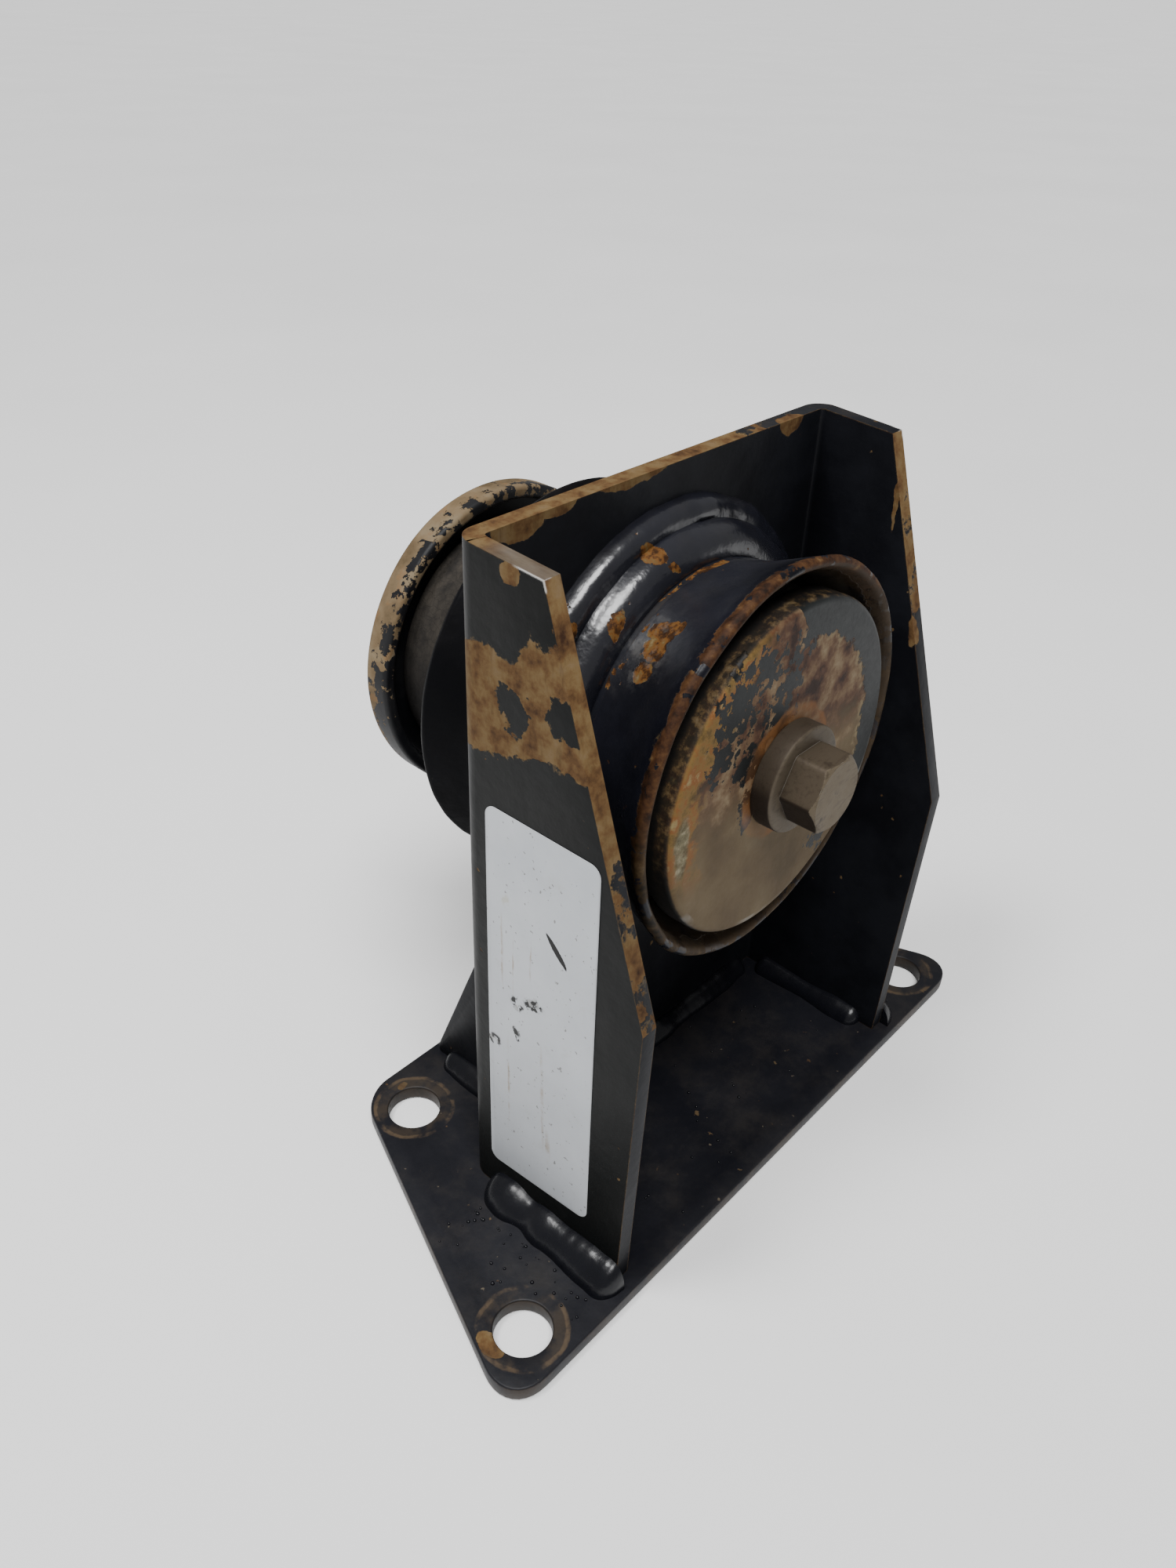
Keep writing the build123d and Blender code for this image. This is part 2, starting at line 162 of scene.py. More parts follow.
class Graph:
    """A material's node tree, with short calls for the nodes that the finishes share."""

    def __init__(self, name: str) -> None:
        """Starts the material.

        Args:
            name: the material's name.
        """
        self.material = bpy.data.materials.new(name)
        self.material.use_nodes = True
        self.tree = self.material.node_tree
        self.shader = self.tree.nodes["Principled BSDF"]
        self.shader.inputs["Specular IOR Level"].default_value = 0.2
        coords = self.tree.nodes.new("ShaderNodeTexCoord")
        self.place = coords.outputs["Object"]
        self.x, self.y, self.z = self.parts(self.place)
        self.face_x, self.face_y, self.face_z = self.parts(coords.outputs["Normal"])

    def plug(self, socket: Socket, value: Value) -> None:
        """Links a socket, or sets its own value."""
        value = value.socket if isinstance(value, Mask) else value
        if isinstance(value, Socket):
            self.tree.links.new(value, socket)
        elif isinstance(value, tuple) and socket.type == "RGBA":
            socket.default_value = (*value, 1.0)
        else:
            socket.default_value = value

    def node(self, kind: str, **inputs: Value) -> bpy.types.Node:
        """Adds a node and plugs its inputs, where an underscore stands for a space."""
        made = self.tree.nodes.new(kind)
        for key, value in inputs.items():
            self.plug(made.inputs[key.replace("_", " ")], value)
        return made

    def math(self, operation: str, a: Value, b: Value = 0.0) -> Mask:
        """One Math node."""
        made = self.tree.nodes.new("ShaderNodeMath")
        made.operation = operation
        self.plug(made.inputs[0], a)
        self.plug(made.inputs[1], b)
        return Mask(self, made.outputs[0])

    def vector(self, operation: str, a: Value, b: Value = (0.0, 0.0, 0.0)) -> Mask:
        """One Vector Math node. A length or a dot product gives its number."""
        made = self.tree.nodes.new("ShaderNodeVectorMath")
        made.operation = operation
        self.plug(made.inputs[0], a)
        self.plug(made.inputs[1], b)
        return Mask(self, made.outputs["Value" if operation in ("LENGTH", "DOT_PRODUCT")
                                       else "Vector"])

    def most(self, *values: Value) -> Mask:
        """The largest of several masks."""
        result = values[0]
        for value in values[1:]:
            result = self.math("MAXIMUM", result, value)
        return result

    def step(self, value: Value, low: float, high: float) -> Mask:
        """A smooth step from 0 at low to 1 at high. Low may be the larger."""
        made = self.node("ShaderNodeMapRange", Value=value, From_Min=low, From_Max=high)
        made.interpolation_type = "SMOOTHSTEP"
        return Mask(self, made.outputs[0])

    def least(self, a: Value, b: Value) -> Mask:
        """The smaller of two masks."""
        return self.math("MINIMUM", a, b)

    def size(self, value: Value) -> Mask:
        """A number without its sign."""
        return self.math("ABSOLUTE", value)

    def only(self, depth: Value, zone: Value) -> Mask:
        """A depth as it is where zone is 1, and far below 0 where zone is 0."""
        return (depth + 2.0) * zone - 2.0

    def parts(self, vector: Value) -> list[Mask]:
        """The X, Y and Z of a vector."""
        return [Mask(self, part) for part in self.node("ShaderNodeSeparateXYZ",
                                                       Vector=vector).outputs]

    def window(self, value: Value, low: float, high: float, soft: float) -> Mask:
        """1 between low and high, falling to 0 over soft on each side."""
        return self.step(value, low - soft, low) * self.step(value, high + soft, high)

    def noise(self, scale: float, detail: float = 4.0, rough: float = 0.55,
              at: Optional[Value] = None) -> Mask:
        """Fractal noise from 0 to 1. Scale is in features per metre."""
        made = self.node("ShaderNodeTexNoise", Vector=self.place if at is None else at, Scale=scale,
                         Detail=detail, Roughness=rough)
        return Mask(self, made.outputs["Fac"])

    def mottle(self, low: float, high: float, scale: float, detail: float = 4.0,
               rough: float = 0.55) -> Mask:
        """Noise cut to a mask: 0 below low, 1 above high."""
        return self.step(self.noise(scale, detail, rough), low, high)

    def stretched(self, along: Colour) -> Mask:
        """The place, scaled on each axis, for streaks."""
        return self.vector("MULTIPLY", self.place, along)

    def ragged(self, reach: float, scale: float, detail: float = 5.0) -> Mask:
        """The place, pushed about by noise so that a shape drawn on it gets a torn edge.

        Args:
            reach: how far it's pushed at most, in millimetres.
            scale: features per metre.
            detail: octaves of noise.

        Returns:
            The pushed place.
        """
        made = self.node("ShaderNodeTexNoise", Vector=self.place, Scale=scale, Detail=detail,
                         Roughness=0.6)
        centred = self.vector("SUBTRACT", made.outputs["Color"], (0.5, 0.5, 0.5))
        push = self.vector("SCALE", centred)
        push.socket.node.inputs["Scale"].default_value = 2 * reach * MM
        return self.vector("ADD", self.place, push)

    def blob(self, centre: Colour, radii: Colour, at: Value) -> Mask:
        """How far inside an ellipsoid a place is: 1 at its middle, 0 on its surface.

        Args:
            centre: its centre in millimetres.
            radii: its three half axes in millimetres.
            at: the place, pushed about or not.

        Returns:
            The depth.
        """
        offset = self.vector("SUBTRACT", at, tuple(c * MM for c in centre))
        scaled = self.vector("DIVIDE", offset, tuple(r * MM for r in radii))
        return 1.0 - self.vector("LENGTH", scaled)

    def blend(self, share: Value, under: Value, over: Value) -> Mask:
        """Lays one colour over another by a mask."""
        made = self.tree.nodes.new("ShaderNodeMix")
        made.data_type = "RGBA"
        self.plug(made.inputs[0], share)
        self.plug(made.inputs[6], under)
        self.plug(made.inputs[7], over)
        return Mask(self, made.outputs[2])

    def coat(self, under: Value, over: Value, mask: Value, share: Value) -> Mask:
        """Lays one colour over another by a mask, at a share of its full strength."""
        return self.blend(mask * share, under, over)

    def ramp(self, value: Value, *stops: tuple[float, Colour]) -> Mask:
        """A colour ramp through the stops."""
        made = self.node("ShaderNodeValToRGB", Fac=value)
        band = made.color_ramp
        band.elements[0].position, band.elements[0].color = stops[0][0], (*stops[0][1], 1.0)
        band.elements[1].position, band.elements[1].color = stops[-1][0], (*stops[-1][1], 1.0)
        for position, colour in stops[1:-1]:
            band.elements.new(position).color = (*colour, 1.0)
        return Mask(self, made.outputs[0])

    def edges(self, radius: float) -> Mask:
        """How sharply the surface turns within a radius in millimetres, 0 on the flat."""
        rounded = self.node("ShaderNodeBevel", Radius=radius * MM)
        rounded.samples = 6
        plain = self.tree.nodes.new("ShaderNodeNewGeometry")
        return 1.0 - self.vector("DOT_PRODUCT", rounded.outputs[0], plain.outputs["Normal"])

    def radius(self, axis_z: float) -> Mask:
        """Distance from the barrel's axis, in metres."""
        up = self.z - axis_z
        return self.math("SQRT", self.x * self.x + up * up)

    def rust(self, scale: float = 140.0) -> Mask:
        """Smooth worn rust: ochre and tan, with brown pits and short streaks."""
        broad = self.noise(scale, 6.0, 0.62)
        streak = self.noise(420.0, 4.0, 0.6, self.stretched((1.0, 1.0, 0.22)))
        base = self.ramp(broad, (0.28, Tone.DARK_RUST.value), (0.44, (0.095, 0.0509, 0.0207)),
                         (0.55, Tone.OCHRE.value), (0.72, Tone.TAN.value))
        return self.blend(self.step(streak, 0.5, 0.72) * 0.45, base, (0.0525, 0.0267, 0.0108))

    def bump(self, height: Value, depth: float, under: Optional[Mask] = None) -> Mask:
        """A Bump node.

        Args:
            height: the relief, about 0 to 1.
            depth: what 1 stands for, in millimetres.
            under: a normal to build on.

        Returns:
            The normal.
        """
        made = self.node("ShaderNodeBump", Height=height, Distance=depth * MM, Strength=1.0)
        if under is not None:
            self.plug(made.inputs["Normal"], under)
        return Mask(self, made.outputs[0])

    def finish(self, colour: Value, rough: Value, normal: Value,
               metal: Value = 0.0) -> bpy.types.Material:
        """Plugs the shader and gives the material."""
        self.plug(self.shader.inputs["Base Color"], colour)
        self.plug(self.shader.inputs["Roughness"], rough)
        self.plug(self.shader.inputs["Metallic"], metal)
        self.plug(self.shader.inputs["Normal"], normal)
        return self.material


# Finishes ------------------------------------------------------------------------------


@dataclass(frozen=True)
class Patch:
    """A place where the paint has gone: an ellipsoid, in millimetres."""

    centre: Colour
    radii: Colour

    @classmethod
    def rows(cls, *rows: tuple[float, ...]) -> "tuple[Patch, ...]":
        """Patches from rows of X, Y, Z and the three half sizes."""
        return tuple(cls(row[:3], row[3:]) for row in rows)


@dataclass(frozen=True)
class WornPaint:
    """Black paint on steel, chipped along its edges, with patches gone to rust."""

    name: str
    paint: Colour = Tone.BLACK.value
    lift: Colour = (0.0088, 0.0094, 0.0121)
    gloss: float = 0.33
    patches: tuple[Patch, ...] = ()
    tear: float = 4.0
    edge_wear: float = 0.5
    spots: float = 0.5
    dust: float = 0.15
    peel: float = 0.05
    shine: float = 0.11
    bare_shine: float = 0.12

    def gone(self, g: Graph) -> Value:
        """Where the patches have taken the paint off, as a depth above 0."""
        torn = g.ragged(self.tear, 75.0, 6.0)
        depths = [g.blob(p.centre, p.radii, torn) for p in self.patches]
        return g.most(*depths) if depths else NOWHERE

    def colour_under(self, g: Graph) -> Mask:
        """The colour where the paint has gone."""
        return g.rust()

    def extra(self, g: Graph, colour: Mask) -> Mask:
        """Marks over everything else. The plain paint has none."""
        return colour

    def dull(self, g: Graph, bare: Mask) -> Mask:
        """Where the gloss is gone: on bare metal."""
        return bare

    def paint_colour(self, g: Graph) -> Mask:
        """The sound paint, mottled."""
        return g.blend(g.mottle(0.38, 0.68, 22.0, 5.0, 0.6), self.paint, self.lift)

    def build(self) -> bpy.types.Material:
        """Makes the material."""
        g = Graph(self.name)
        grain = g.noise(520.0, 5.0, 0.6)
        depth = self.gone(g)
        patch = g.step(depth, 0.0, 0.035)
        chips = g.step(g.edges(1.3) * (1.7 * self.edge_wear) + grain * 0.55, 0.50, 0.60)
        pits = g.mottle(0.73 - 0.04 * self.spots, 0.76, 210.0, 3.0, 0.5) * min(1.0, 2 * self.spots)
        bare = g.most(patch, chips, pits)
        sound = self.paint_colour(g)
        dusty = g.step(g.face_z, 0.2, 0.95) * (g.mottle(0.42, 0.75, 60.0, 6.0, 0.65) * self.dust)
        sound = g.blend(dusty, sound, Tone.DUST.value)
        rim = g.step(depth, -0.05, -0.005) * (1.0 - patch)
        sound = g.coat(sound, (0.06, 0.0412, 0.0203), rim, g.step(grain, 0.5, 0.62))
        colour = self.extra(g, g.blend(bare, sound, self.colour_under(g)))
        rough = self.gloss + g.noise(48.0, 4.0) * 0.16 + (bare * 0.34 + dusty * 0.8)
        layer = g.bump(1.0 - bare + grain * (0.10 + bare * 0.5), 0.16)
        swell = g.bump(g.noise(150.0, 3.0, 0.5), self.peel * 5, layer)
        g.shader.inputs["Specular IOR Level"].default_value = self.shine
        if self.shine > self.bare_shine:
            dull = self.dull(g, bare) * (self.shine - self.bare_shine)
            g.plug(g.shader.inputs["Specular IOR Level"], self.shine - dull)
        return g.finish(colour, rough, swell)


@dataclass(frozen=True)
class UprightPaint(WornPaint):
    """The upright: a torn rust band across the left cheek, and worn sheet edges."""

    left_x: float = -86.0
    band_low: float = 193.0
    band_high: float = 228.5
    band_dip: float = 9.0
    edge_low: float = 248.0
    edge_high: float = 250.5

    def upper(self, g: Graph) -> Mask:
        """1 at the sheet's top edge."""
        return g.step(g.z, self.edge_low * MM, self.edge_high * MM)

    def gone(self, g: Graph) -> Mask:
        """The patches, the band on the left cheek and the sheet's own edges."""
        torn = g.ragged(8.0, 85.0, 7.0)
        _, y, z = g.parts(torn)
        outer = g.step(g.x, (self.left_x + 7.5) * MM, (self.left_x + 6.5) * MM)
        roof = self.band_high * MM + g.step(y, -0.019, -0.023) * (self.band_dip * MM)
        floor = self.band_low * MM + g.step(y, -0.002, -0.028) * (self.band_dip * MM)
        band = g.least((roof - z) * 60.0, (z - floor) * 60.0)
        isles = g.ragged(8.0, 150.0, 8.0)
        left_isle = g.blob((self.left_x, -18.5, 212.5), (9.0, 6.5, 7.5), isles)
        right_isle = g.blob((self.left_x, -38.5, 217.5), (9.0, 9.5, 6.0), isles)
        band = g.least(band, g.most(left_isle, right_isle) * -1.0)
        band = g.only(band, outer)
        front_edge = g.step(g.face_y, -0.4, -0.8) * g.step(g.y, -0.016, -0.02)
        top_edge = g.step(g.face_z, 0.5, 0.85) * self.upper(g)
        height = g.step(g.z, 0.118, 0.215)
        left = g.step(g.x, 0.0, -0.01)
        keep = g.noise(70.0, 5.0, 0.65)
        high_right = g.step(g.z, 0.180, 0.215) * (1.0 - left)
        rusted = height * left * 0.42 + high_right * 0.36
        front = front_edge * (rusted + 0.30) - keep
        front = g.only(front, front_edge)
        top = top_edge * (0.36 + g.step(g.x, 0.062, 0.03) * 0.30) - keep
        top = g.only(top, top_edge)
        run = g.window(g.z + (g.y - -0.028) * -3.1, 0.2545, 0.2585, 0.0012) * outer
        return g.most(super().gone(g), band, front, top, run * 0.62 - (keep + 0.1))

    def paint_colour(self, g: Graph) -> Mask:
        """Near black inside; the left cheek's outer face is a faded grey-green."""
        inside = super().paint_colour(g)
        faded = g.blend(g.mottle(0.35, 0.7, 34.0, 6.0, 0.65), Tone.SLATE.value,
                        (0.0060, 0.0063, 0.0060))
        outer = g.step(g.face_x, -0.45, -0.85) * g.step(g.x, 0.0, -0.01)
        return g.blend(outer, inside, faded)

    def extra(self, g: Graph, colour: Mask) -> Mask:
        """Bare steel on the left cheek's top edge, and a painted highlight on the rounded edges of
        both cheeks' top front corners.
        """
        cheek_top = (g.step(g.face_z, 0.55, 0.85) * self.upper(g)
                     * (g.step(g.x, -0.076, -0.079) * g.step(g.y, -0.002, -0.012)))
        scraped = g.noise(260.0, 4.0, 0.6, g.stretched((1.0, 0.25, 1.0)))
        colour = g.coat(colour, g.ramp(scraped, (0.35, (0.065, 0.0509, 0.0383)),
                                       (0.7, Tone.STEEL.value)), cheek_top, 0.8)
        # Painted highlight: near white on the rounded edges at both cheeks' top front corners.
        corner = g.most(g.blob((self.left_x, -28.0, 254.0), (3.4, 13.0, 3.0), g.place),
                        g.blob((-self.left_x, -28.0, 254.0), (3.0, 5.0, 2.6), g.place) * 0.7)
        rubbed = g.step(corner, 0.0, 0.35) * g.step(g.edges(1.0), 0.02, 0.09)
        return g.coat(colour, (0.62, 0.60, 0.57), rubbed, 0.8)


@dataclass(frozen=True)
class PlatePaint(WornPaint):
    """The base plate: wear rings round its holes, pale specks and brownish edges."""

    holes: tuple[Point, ...] = ()
    hole_r: float = 10.0

    def extra(self, g: Graph, colour: Mask) -> Mask:
        """Rings worn by bolt heads, painted shade on the hole walls, specks of spatter and dirt,
        and dull blotches.
        """
        flat = g.step(g.face_z, 0.5, 0.9)
        for index, (x, y) in enumerate(self.holes):
            offset = g.vector("MULTIPLY", g.vector("SUBTRACT", g.ragged(1.2, 130.0),
                                                   (x * MM, y * MM, 0.0)), (1.0, 1.0, 0.0))
            reach = g.vector("LENGTH", offset)
            ring = g.window(reach, (self.hole_r + 0.2) * MM, (self.hole_r + 4.8) * MM, 0.0011)
            line = g.window(reach, (self.hole_r + 4.6) * MM, (self.hole_r + 5.5) * MM, 0.0006)
            broken = g.mottle(0.40, 0.62, 90.0 + 7 * index, 5.0, 0.6)
            colour = g.coat(colour, (0.0425, 0.031, 0.0207), ring * flat, broken * 0.6)
            colour = g.coat(colour, (0.085, 0.0582, 0.0338), line * flat, broken * 0.7)
            # Painted shade: the walls inside each hole are darkened to near black.
            wall = g.step(reach, (self.hole_r + 2.0) * MM, (self.hole_r + 1.0) * MM) * (1.0 - flat)
            colour = g.coat(colour, (0.006, 0.0055, 0.005), wall, 0.9)
        specks = g.mottle(0.735, 0.775, 330.0, 2.0, 0.4) * flat
        colour = g.coat(colour, (0.11, 0.0897, 0.063), specks, 0.75)
        cloud = g.mottle(0.50, 0.78, 30.0, 7.0, 0.7) * flat
        colour = g.coat(colour, (0.025, 0.0204, 0.0162), cloud, 0.12)
        side = g.step(g.size(g.face_z), 0.75, 0.3) * g.mottle(0.38, 0.62, 55.0, 6.0, 0.7)
        return g.coat(colour, (0.0425, 0.0291, 0.0189), side, 0.6)


@dataclass(frozen=True)
class BarrelPaint(WornPaint):
    """Glossy blue-black paint on the barrel, cracked along the crease."""

    axis_z: float = AXIS_Z * MM
    crease_y: float = -17.6
    crack: float = 1.5

    def gone(self, g: Graph) -> Mask:
        """The patches, and a broken line along the crease near the top."""
        _, y, _ = g.parts(g.ragged(1.6, 120.0))
        near = 1.0 - g.size(y - self.crease_y * MM) * (1 / (self.crack * MM))
        high = g.step(g.z, 0.196, 0.206) * g.window(g.x, -0.052, 0.006, 0.004)
        broken = g.noise(85.0, 5.0, 0.6) - 0.52
        line = g.least(near, broken * 6.0)
        return g.most(super().gone(g), g.only(line, high))

    def colour_under(self, g: Graph) -> Mask:
        """Brighter, more orange rust than on the plates, with cream flakes."""
        broad = g.noise(260.0, 6.0, 0.65)
        return g.ramp(broad, (0.30, (0.010, 0.005, 0.003)), (0.45, (0.036, 0.015, 0.005)),
                      (0.53, (0.120, 0.050, 0.012)), (0.60, (0.100, 0.060, 0.020)),
                      (0.70, (0.150, 0.108, 0.052)))

    def extra(self, g: Graph, colour: Mask) -> Mask:
        """A grey scuffed halo round the large patch."""
        halo = g.step(g.blob((-38.0, -24.0, 217.0), (19.0, 15.0, 20.0), g.ragged(7.0, 80.0, 6.0)),
                      0.0, 0.75)
        scuffed = halo * g.mottle(0.50, 0.66, 230.0, 6.0, 0.7)
        return g.coat(colour, (0.075, 0.0725, 0.07), scuffed, 0.5)


@dataclass(frozen=True)
class CupPaint(BarrelPaint):
    """The flared cup: black outside, its lip and mouth gone to rust."""

    lip_y: float = -47.0
    side: float = -1.0
    rusty: float = 1.0
    rust_width: float = 2.4

    def high(self, g: Graph) -> Mask:
        """1 towards the upper left of the barrel, where the lip's rust is red."""
        return g.step(g.z + g.x * -0.35, self.axis_z + 0.012, self.axis_z + 0.04)

    def beyond(self, g: Graph) -> Mask:
        """Metres past the edge of the rust round the lip."""
        _, along, _ = g.parts(g.ragged(3.6, 110.0, 7.0))
        return (along - (self.lip_y - self.side * self.rust_width) * MM) * self.side

    def gone(self, g: Graph) -> Mask:
        """The patches, and the lip where paint holds on only in flakes."""
        base = super().gone(g)
        if self.rusty == 0.0:
            return base
        flakes = g.mottle(0.53, 0.57, 105.0, 6.0, 0.6) * (1.0 - self.high(g) * 0.5)
        return g.most(base, self.beyond(g) * 90.0 - flakes * 0.9)

    def colour_under(self, g: Graph) -> Mask:
        """Red-brown rust at the top of the lip and tan lower down; orange elsewhere."""
        red = g.ramp(g.noise(230.0, 6.0, 0.65), (0.36, (0.010, 0.005, 0.003)),
                     (0.49, (0.034, 0.014, 0.006)), (0.62, (0.064, 0.029, 0.011)),
                     (0.74, (0.115, 0.067, 0.028)))
        tan = g.ramp(g.noise(210.0, 6.0, 0.6), (0.36, (0.010, 0.007, 0.004)),
                     (0.50, (0.034, 0.021, 0.009)), (0.70, (0.085, 0.056, 0.027)))
        return g.blend(g.step(self.beyond(g), -0.0035, -0.0005), super().colour_under(g),
                       g.blend(self.high(g), tan, red))

    def dull(self, g: Graph, bare: Mask) -> Mask:
        """Bare metal, and the whole lip, flakes of paint included."""
        return g.most(bare, g.step(self.beyond(g), -0.0045, -0.001) * self.rusty)

    def extra(self, g: Graph, colour: Mask) -> Mask:
        """Dusty brown in the mouth."""
        colour = super().extra(g, colour)
        outward = g.face_x * (g.x * 18.0) + g.face_z * ((g.z - self.axis_z) * 18.0)
        mouth = g.step(outward, 0.05, -0.35) * g.mottle(0.30, 0.55, 75.0, 6.0, 0.6)
        return g.coat(colour, (0.036, 0.024, 0.014), mouth, 0.8 * self.rusty)


@dataclass(frozen=True)
class FrontDiscFinish:
    """The front disc: tan rust with islands and a right-hand band of grey-blue paint, with painted
    shade and a painted highlight on its rim.
    """

    name: str = "front_disc_finish"
    axis_z: float = AXIS_Z * MM
    disc_r: float = 58.2
    face_y: float = -0.0525
    island_depth: float = 12.0
    # Paint left on the disc: X and Z from the axis, then both half sizes, in millimetres.
    islands: tuple[tuple[float, float, float, float], ...] = (
        (-29.0, 36.0, 11.0, 15.0), (-37.0, 22.0, 6.5, 11.0), (-16.0, 44.0, 9.0, 8.0),
        (-8.0, 24.0, 9.0, 10.0), (-15.0, 12.0, 7.0, 7.0), (2.0, 46.0, 8.0, 6.0),
        (-24.0, 13.0, 6.0, 8.0), (-4.0, 34.0, 7.0, 8.0), (-19.0, -6.0, 6.0, 9.0),
        (29.0, -40.0, 7.5, 5.5), (3.0, 9.0, 5.0, 5.0))

    def build(self) -> bpy.types.Material:
        """Makes the material."""
        g = Graph(self.name)
        reach = g.radius(self.axis_z)
        up = g.z - self.axis_z
        mid = g.noise(110.0, 6.0, 0.6)
        fine = g.noise(640.0, 5.0, 0.65)
        smooth = g.ramp(g.noise(38.0, 5.0, 0.55), (0.30, (0.055, 0.037, 0.019)),
                        (0.52, (0.088, 0.062, 0.032)), (0.75, (0.125, 0.096, 0.055)))
        pink = g.ramp(mid, (0.36, (0.022, 0.011, 0.008)), (0.46, (0.066, 0.032, 0.018)),
                      (0.56, (0.115, 0.071, 0.038)), (0.70, (0.18, 0.135, 0.080)))
        heart = g.step(up + (mid - 0.5) * 0.05, -0.010, 0.016)
        colour = g.blend(heart, smooth, pink)
        ochre = g.ramp(g.noise(150.0, 6.0, 0.65), (0.34, (0.0575, 0.0364, 0.0090)),
                       (0.48, (0.15, 0.0897, 0.0248)), (0.58, Tone.ORANGE.value),
                       (0.70, (0.22, 0.175, 0.0765)))
        torn = g.ragged(6.0, 70.0, 6.0)
        left_ring = (g.step(reach + (mid - 0.5) * 0.030, 0.0440, 0.0485)
                     * (g.step(g.x, -0.010, -0.026) * g.step(up, -0.030, -0.002)))
        colour = g.coat(colour, ochre, left_ring, 0.9)
        green = g.step(g.blob((-51.5, -52.5, 166.0), (5.5, 9.0, 15.0), torn), 0.1, 0.4)
        pale = g.ramp(g.noise(300.0, 5.0, 0.6), (0.38, (0.05, 0.0412, 0.0203)),
                      (0.55, (0.125, 0.114, 0.0675)), (0.68, (0.26, 0.238, 0.162)))
        colour = g.coat(colour, pale, green, 0.85)
        ragged = g.ragged(9.0, 230.0, 8.0)
        held = g.most(*(g.blob((x, self.face_y / MM, self.axis_z / MM + z),
                               (rx, self.island_depth, rz), ragged)
                        for x, z, rx, rz in self.islands))
        held = held - g.mottle(0.46, 0.60, 290.0, 5.0, 0.6) * 0.60
        out_x, _, high = g.parts(g.ragged(6.5, 210.0, 7.0))
        out_z = high - self.axis_z
        out_r = g.math("SQRT", out_x * out_x + out_z * out_z)
        sector = g.step(g.x * 0.90 + up * 0.44, 0.014, 0.026)
        band = (out_r - (0.0452 + g.step(up, 0.0, -0.04) * 0.006)) * 40.0
        band = g.only(band, sector)
        depth = g.most(held, band)
        paint = g.step(depth, 0.0, 0.05)
        slate = g.blend(g.mottle(0.35, 0.7, 60.0, 5.0, 0.6), (0.0045, 0.0054, 0.0058),
                        (0.0095, 0.0115, 0.0115))
        cream = g.step(depth, -0.16, -0.01) * g.mottle(0.45, 0.60, 170.0, 5.0, 0.6)
        colour = g.coat(colour, Tone.CREAM.value, cream, 0.25 + g.step(band, -0.3, 0.0) * 0.5)
        colour = g.blend(paint, colour, slate)
        halo = (g.window(reach + (mid - 0.5) * 0.006, 0.019, 0.0225, 0.0016)
                * (0.25 + g.mottle(0.42, 0.6, 60.0, 4.0) * 0.5))
        colour = g.blend(halo, colour, (0.18, 0.0752, 0.0225))
        side = g.step(reach, (self.disc_r - 0.9) * MM, (self.disc_r - 0.2) * MM)
        worn_side = g.ramp(g.noise(260.0, 6.0, 0.7), (0.42, (0.005, 0.0046, 0.0042)),
                           (0.50, (0.016, 0.011, 0.007)), (0.58, (0.072, 0.046, 0.020)),
                           (0.72, (0.13, 0.095, 0.052)))
        colour = g.coat(colour, worn_side, side, 0.92)
        # Painted shade, partly dark paint: the rim's side is near black behind its front few
        # millimetres and on its lower part.
        painted_side_shade = (side * g.most(g.step(g.y, self.face_y + 0.0042, self.face_y + 0.0062),
                                g.step(up + g.x * 0.2, -0.002, -0.03)))
        colour = g.coat(colour, (0.0045, 0.0042, 0.004), painted_side_shade, 0.93)
        flecks = side * g.step(g.x, 0.03, 0.045) * g.mottle(0.62, 0.67, 420.0, 3.0, 0.5)
        colour = g.coat(colour, (0.31, 0.242, 0.045), flecks, 0.8)
        # Painted highlight: a pale line on the rim's lower right edge, made partly metallic.
        rim_highlight = g.window(reach, 0.0556, 0.0576, 0.0006) * g.mottle(0.45, 0.60, 30.0, 4.0, 0.6)
        low_right = g.step(up, -0.004, -0.03) * g.step(g.face_y, -0.35, -0.6)
        colour = g.coat(colour, (0.25, 0.24, 0.215), rim_highlight * low_right, 0.75)
        rough = 0.62 + (fine * 0.2 - paint * 0.22)
        layers = paint + (fine * 0.22 + mid * 0.35)
        return g.finish(colour, rough, g.bump(layers, 0.22), rim_highlight * low_right * 0.6)


@dataclass(frozen=True)
class RearDiscFinish:
    """The rear disc: dusty tan on its rim where black paint has flaked away."""

    name: str = "rear_disc_finish"
    axis_z: float = AXIS_Z * MM

    def build(self) -> bpy.types.Material:
        """Makes the material."""
        g = Graph(self.name)
        reach = g.radius(self.axis_z)
        fine = g.noise(560.0, 5.0, 0.65)
        tan = g.ramp(g.noise(90.0, 6.0, 0.6), (0.30, (0.085, 0.0582, 0.0293)),
                     (0.50, (0.15, 0.104, 0.0563)), (0.72, (0.21, 0.167, 0.104)))
        orange = g.mottle(0.56, 0.66, 160.0, 5.0, 0.6)
        tan = g.coat(tan, (0.18, 0.0921, 0.0338), orange, 0.5)
        black = g.blend(g.mottle(0.4, 0.7, 50.0, 5.0), Tone.BLACK.value, (0.0121, 0.0121, 0.0132))
        outer = g.step(reach, 0.0528, 0.0560)
        lower = g.step(g.z - self.axis_z, 0.030, -0.045) * 0.22
        toward_web = g.step(g.y, 0.0835, 0.0750) * 0.14
        hold = g.noise(190.0, 6.0, 0.65) + (lower + toward_web - outer * 0.10)
        paint = g.most(g.step(hold, 0.545, 0.565), 1.0 - outer)
        colour = g.blend(paint, tan, black)
        dusty = g.step(g.face_z, 0.1, 0.9) * g.mottle(0.35, 0.65, 45.0, 6.0, 0.6)
        colour = g.coat(colour, (0.13, 0.104, 0.0698), dusty * (1.0 - paint), 0.35)
        rough = 0.45 + ((1.0 - paint) * 0.3 + fine * 0.1)
        return g.finish(colour, rough, g.bump(paint + fine * 0.25, 0.2))


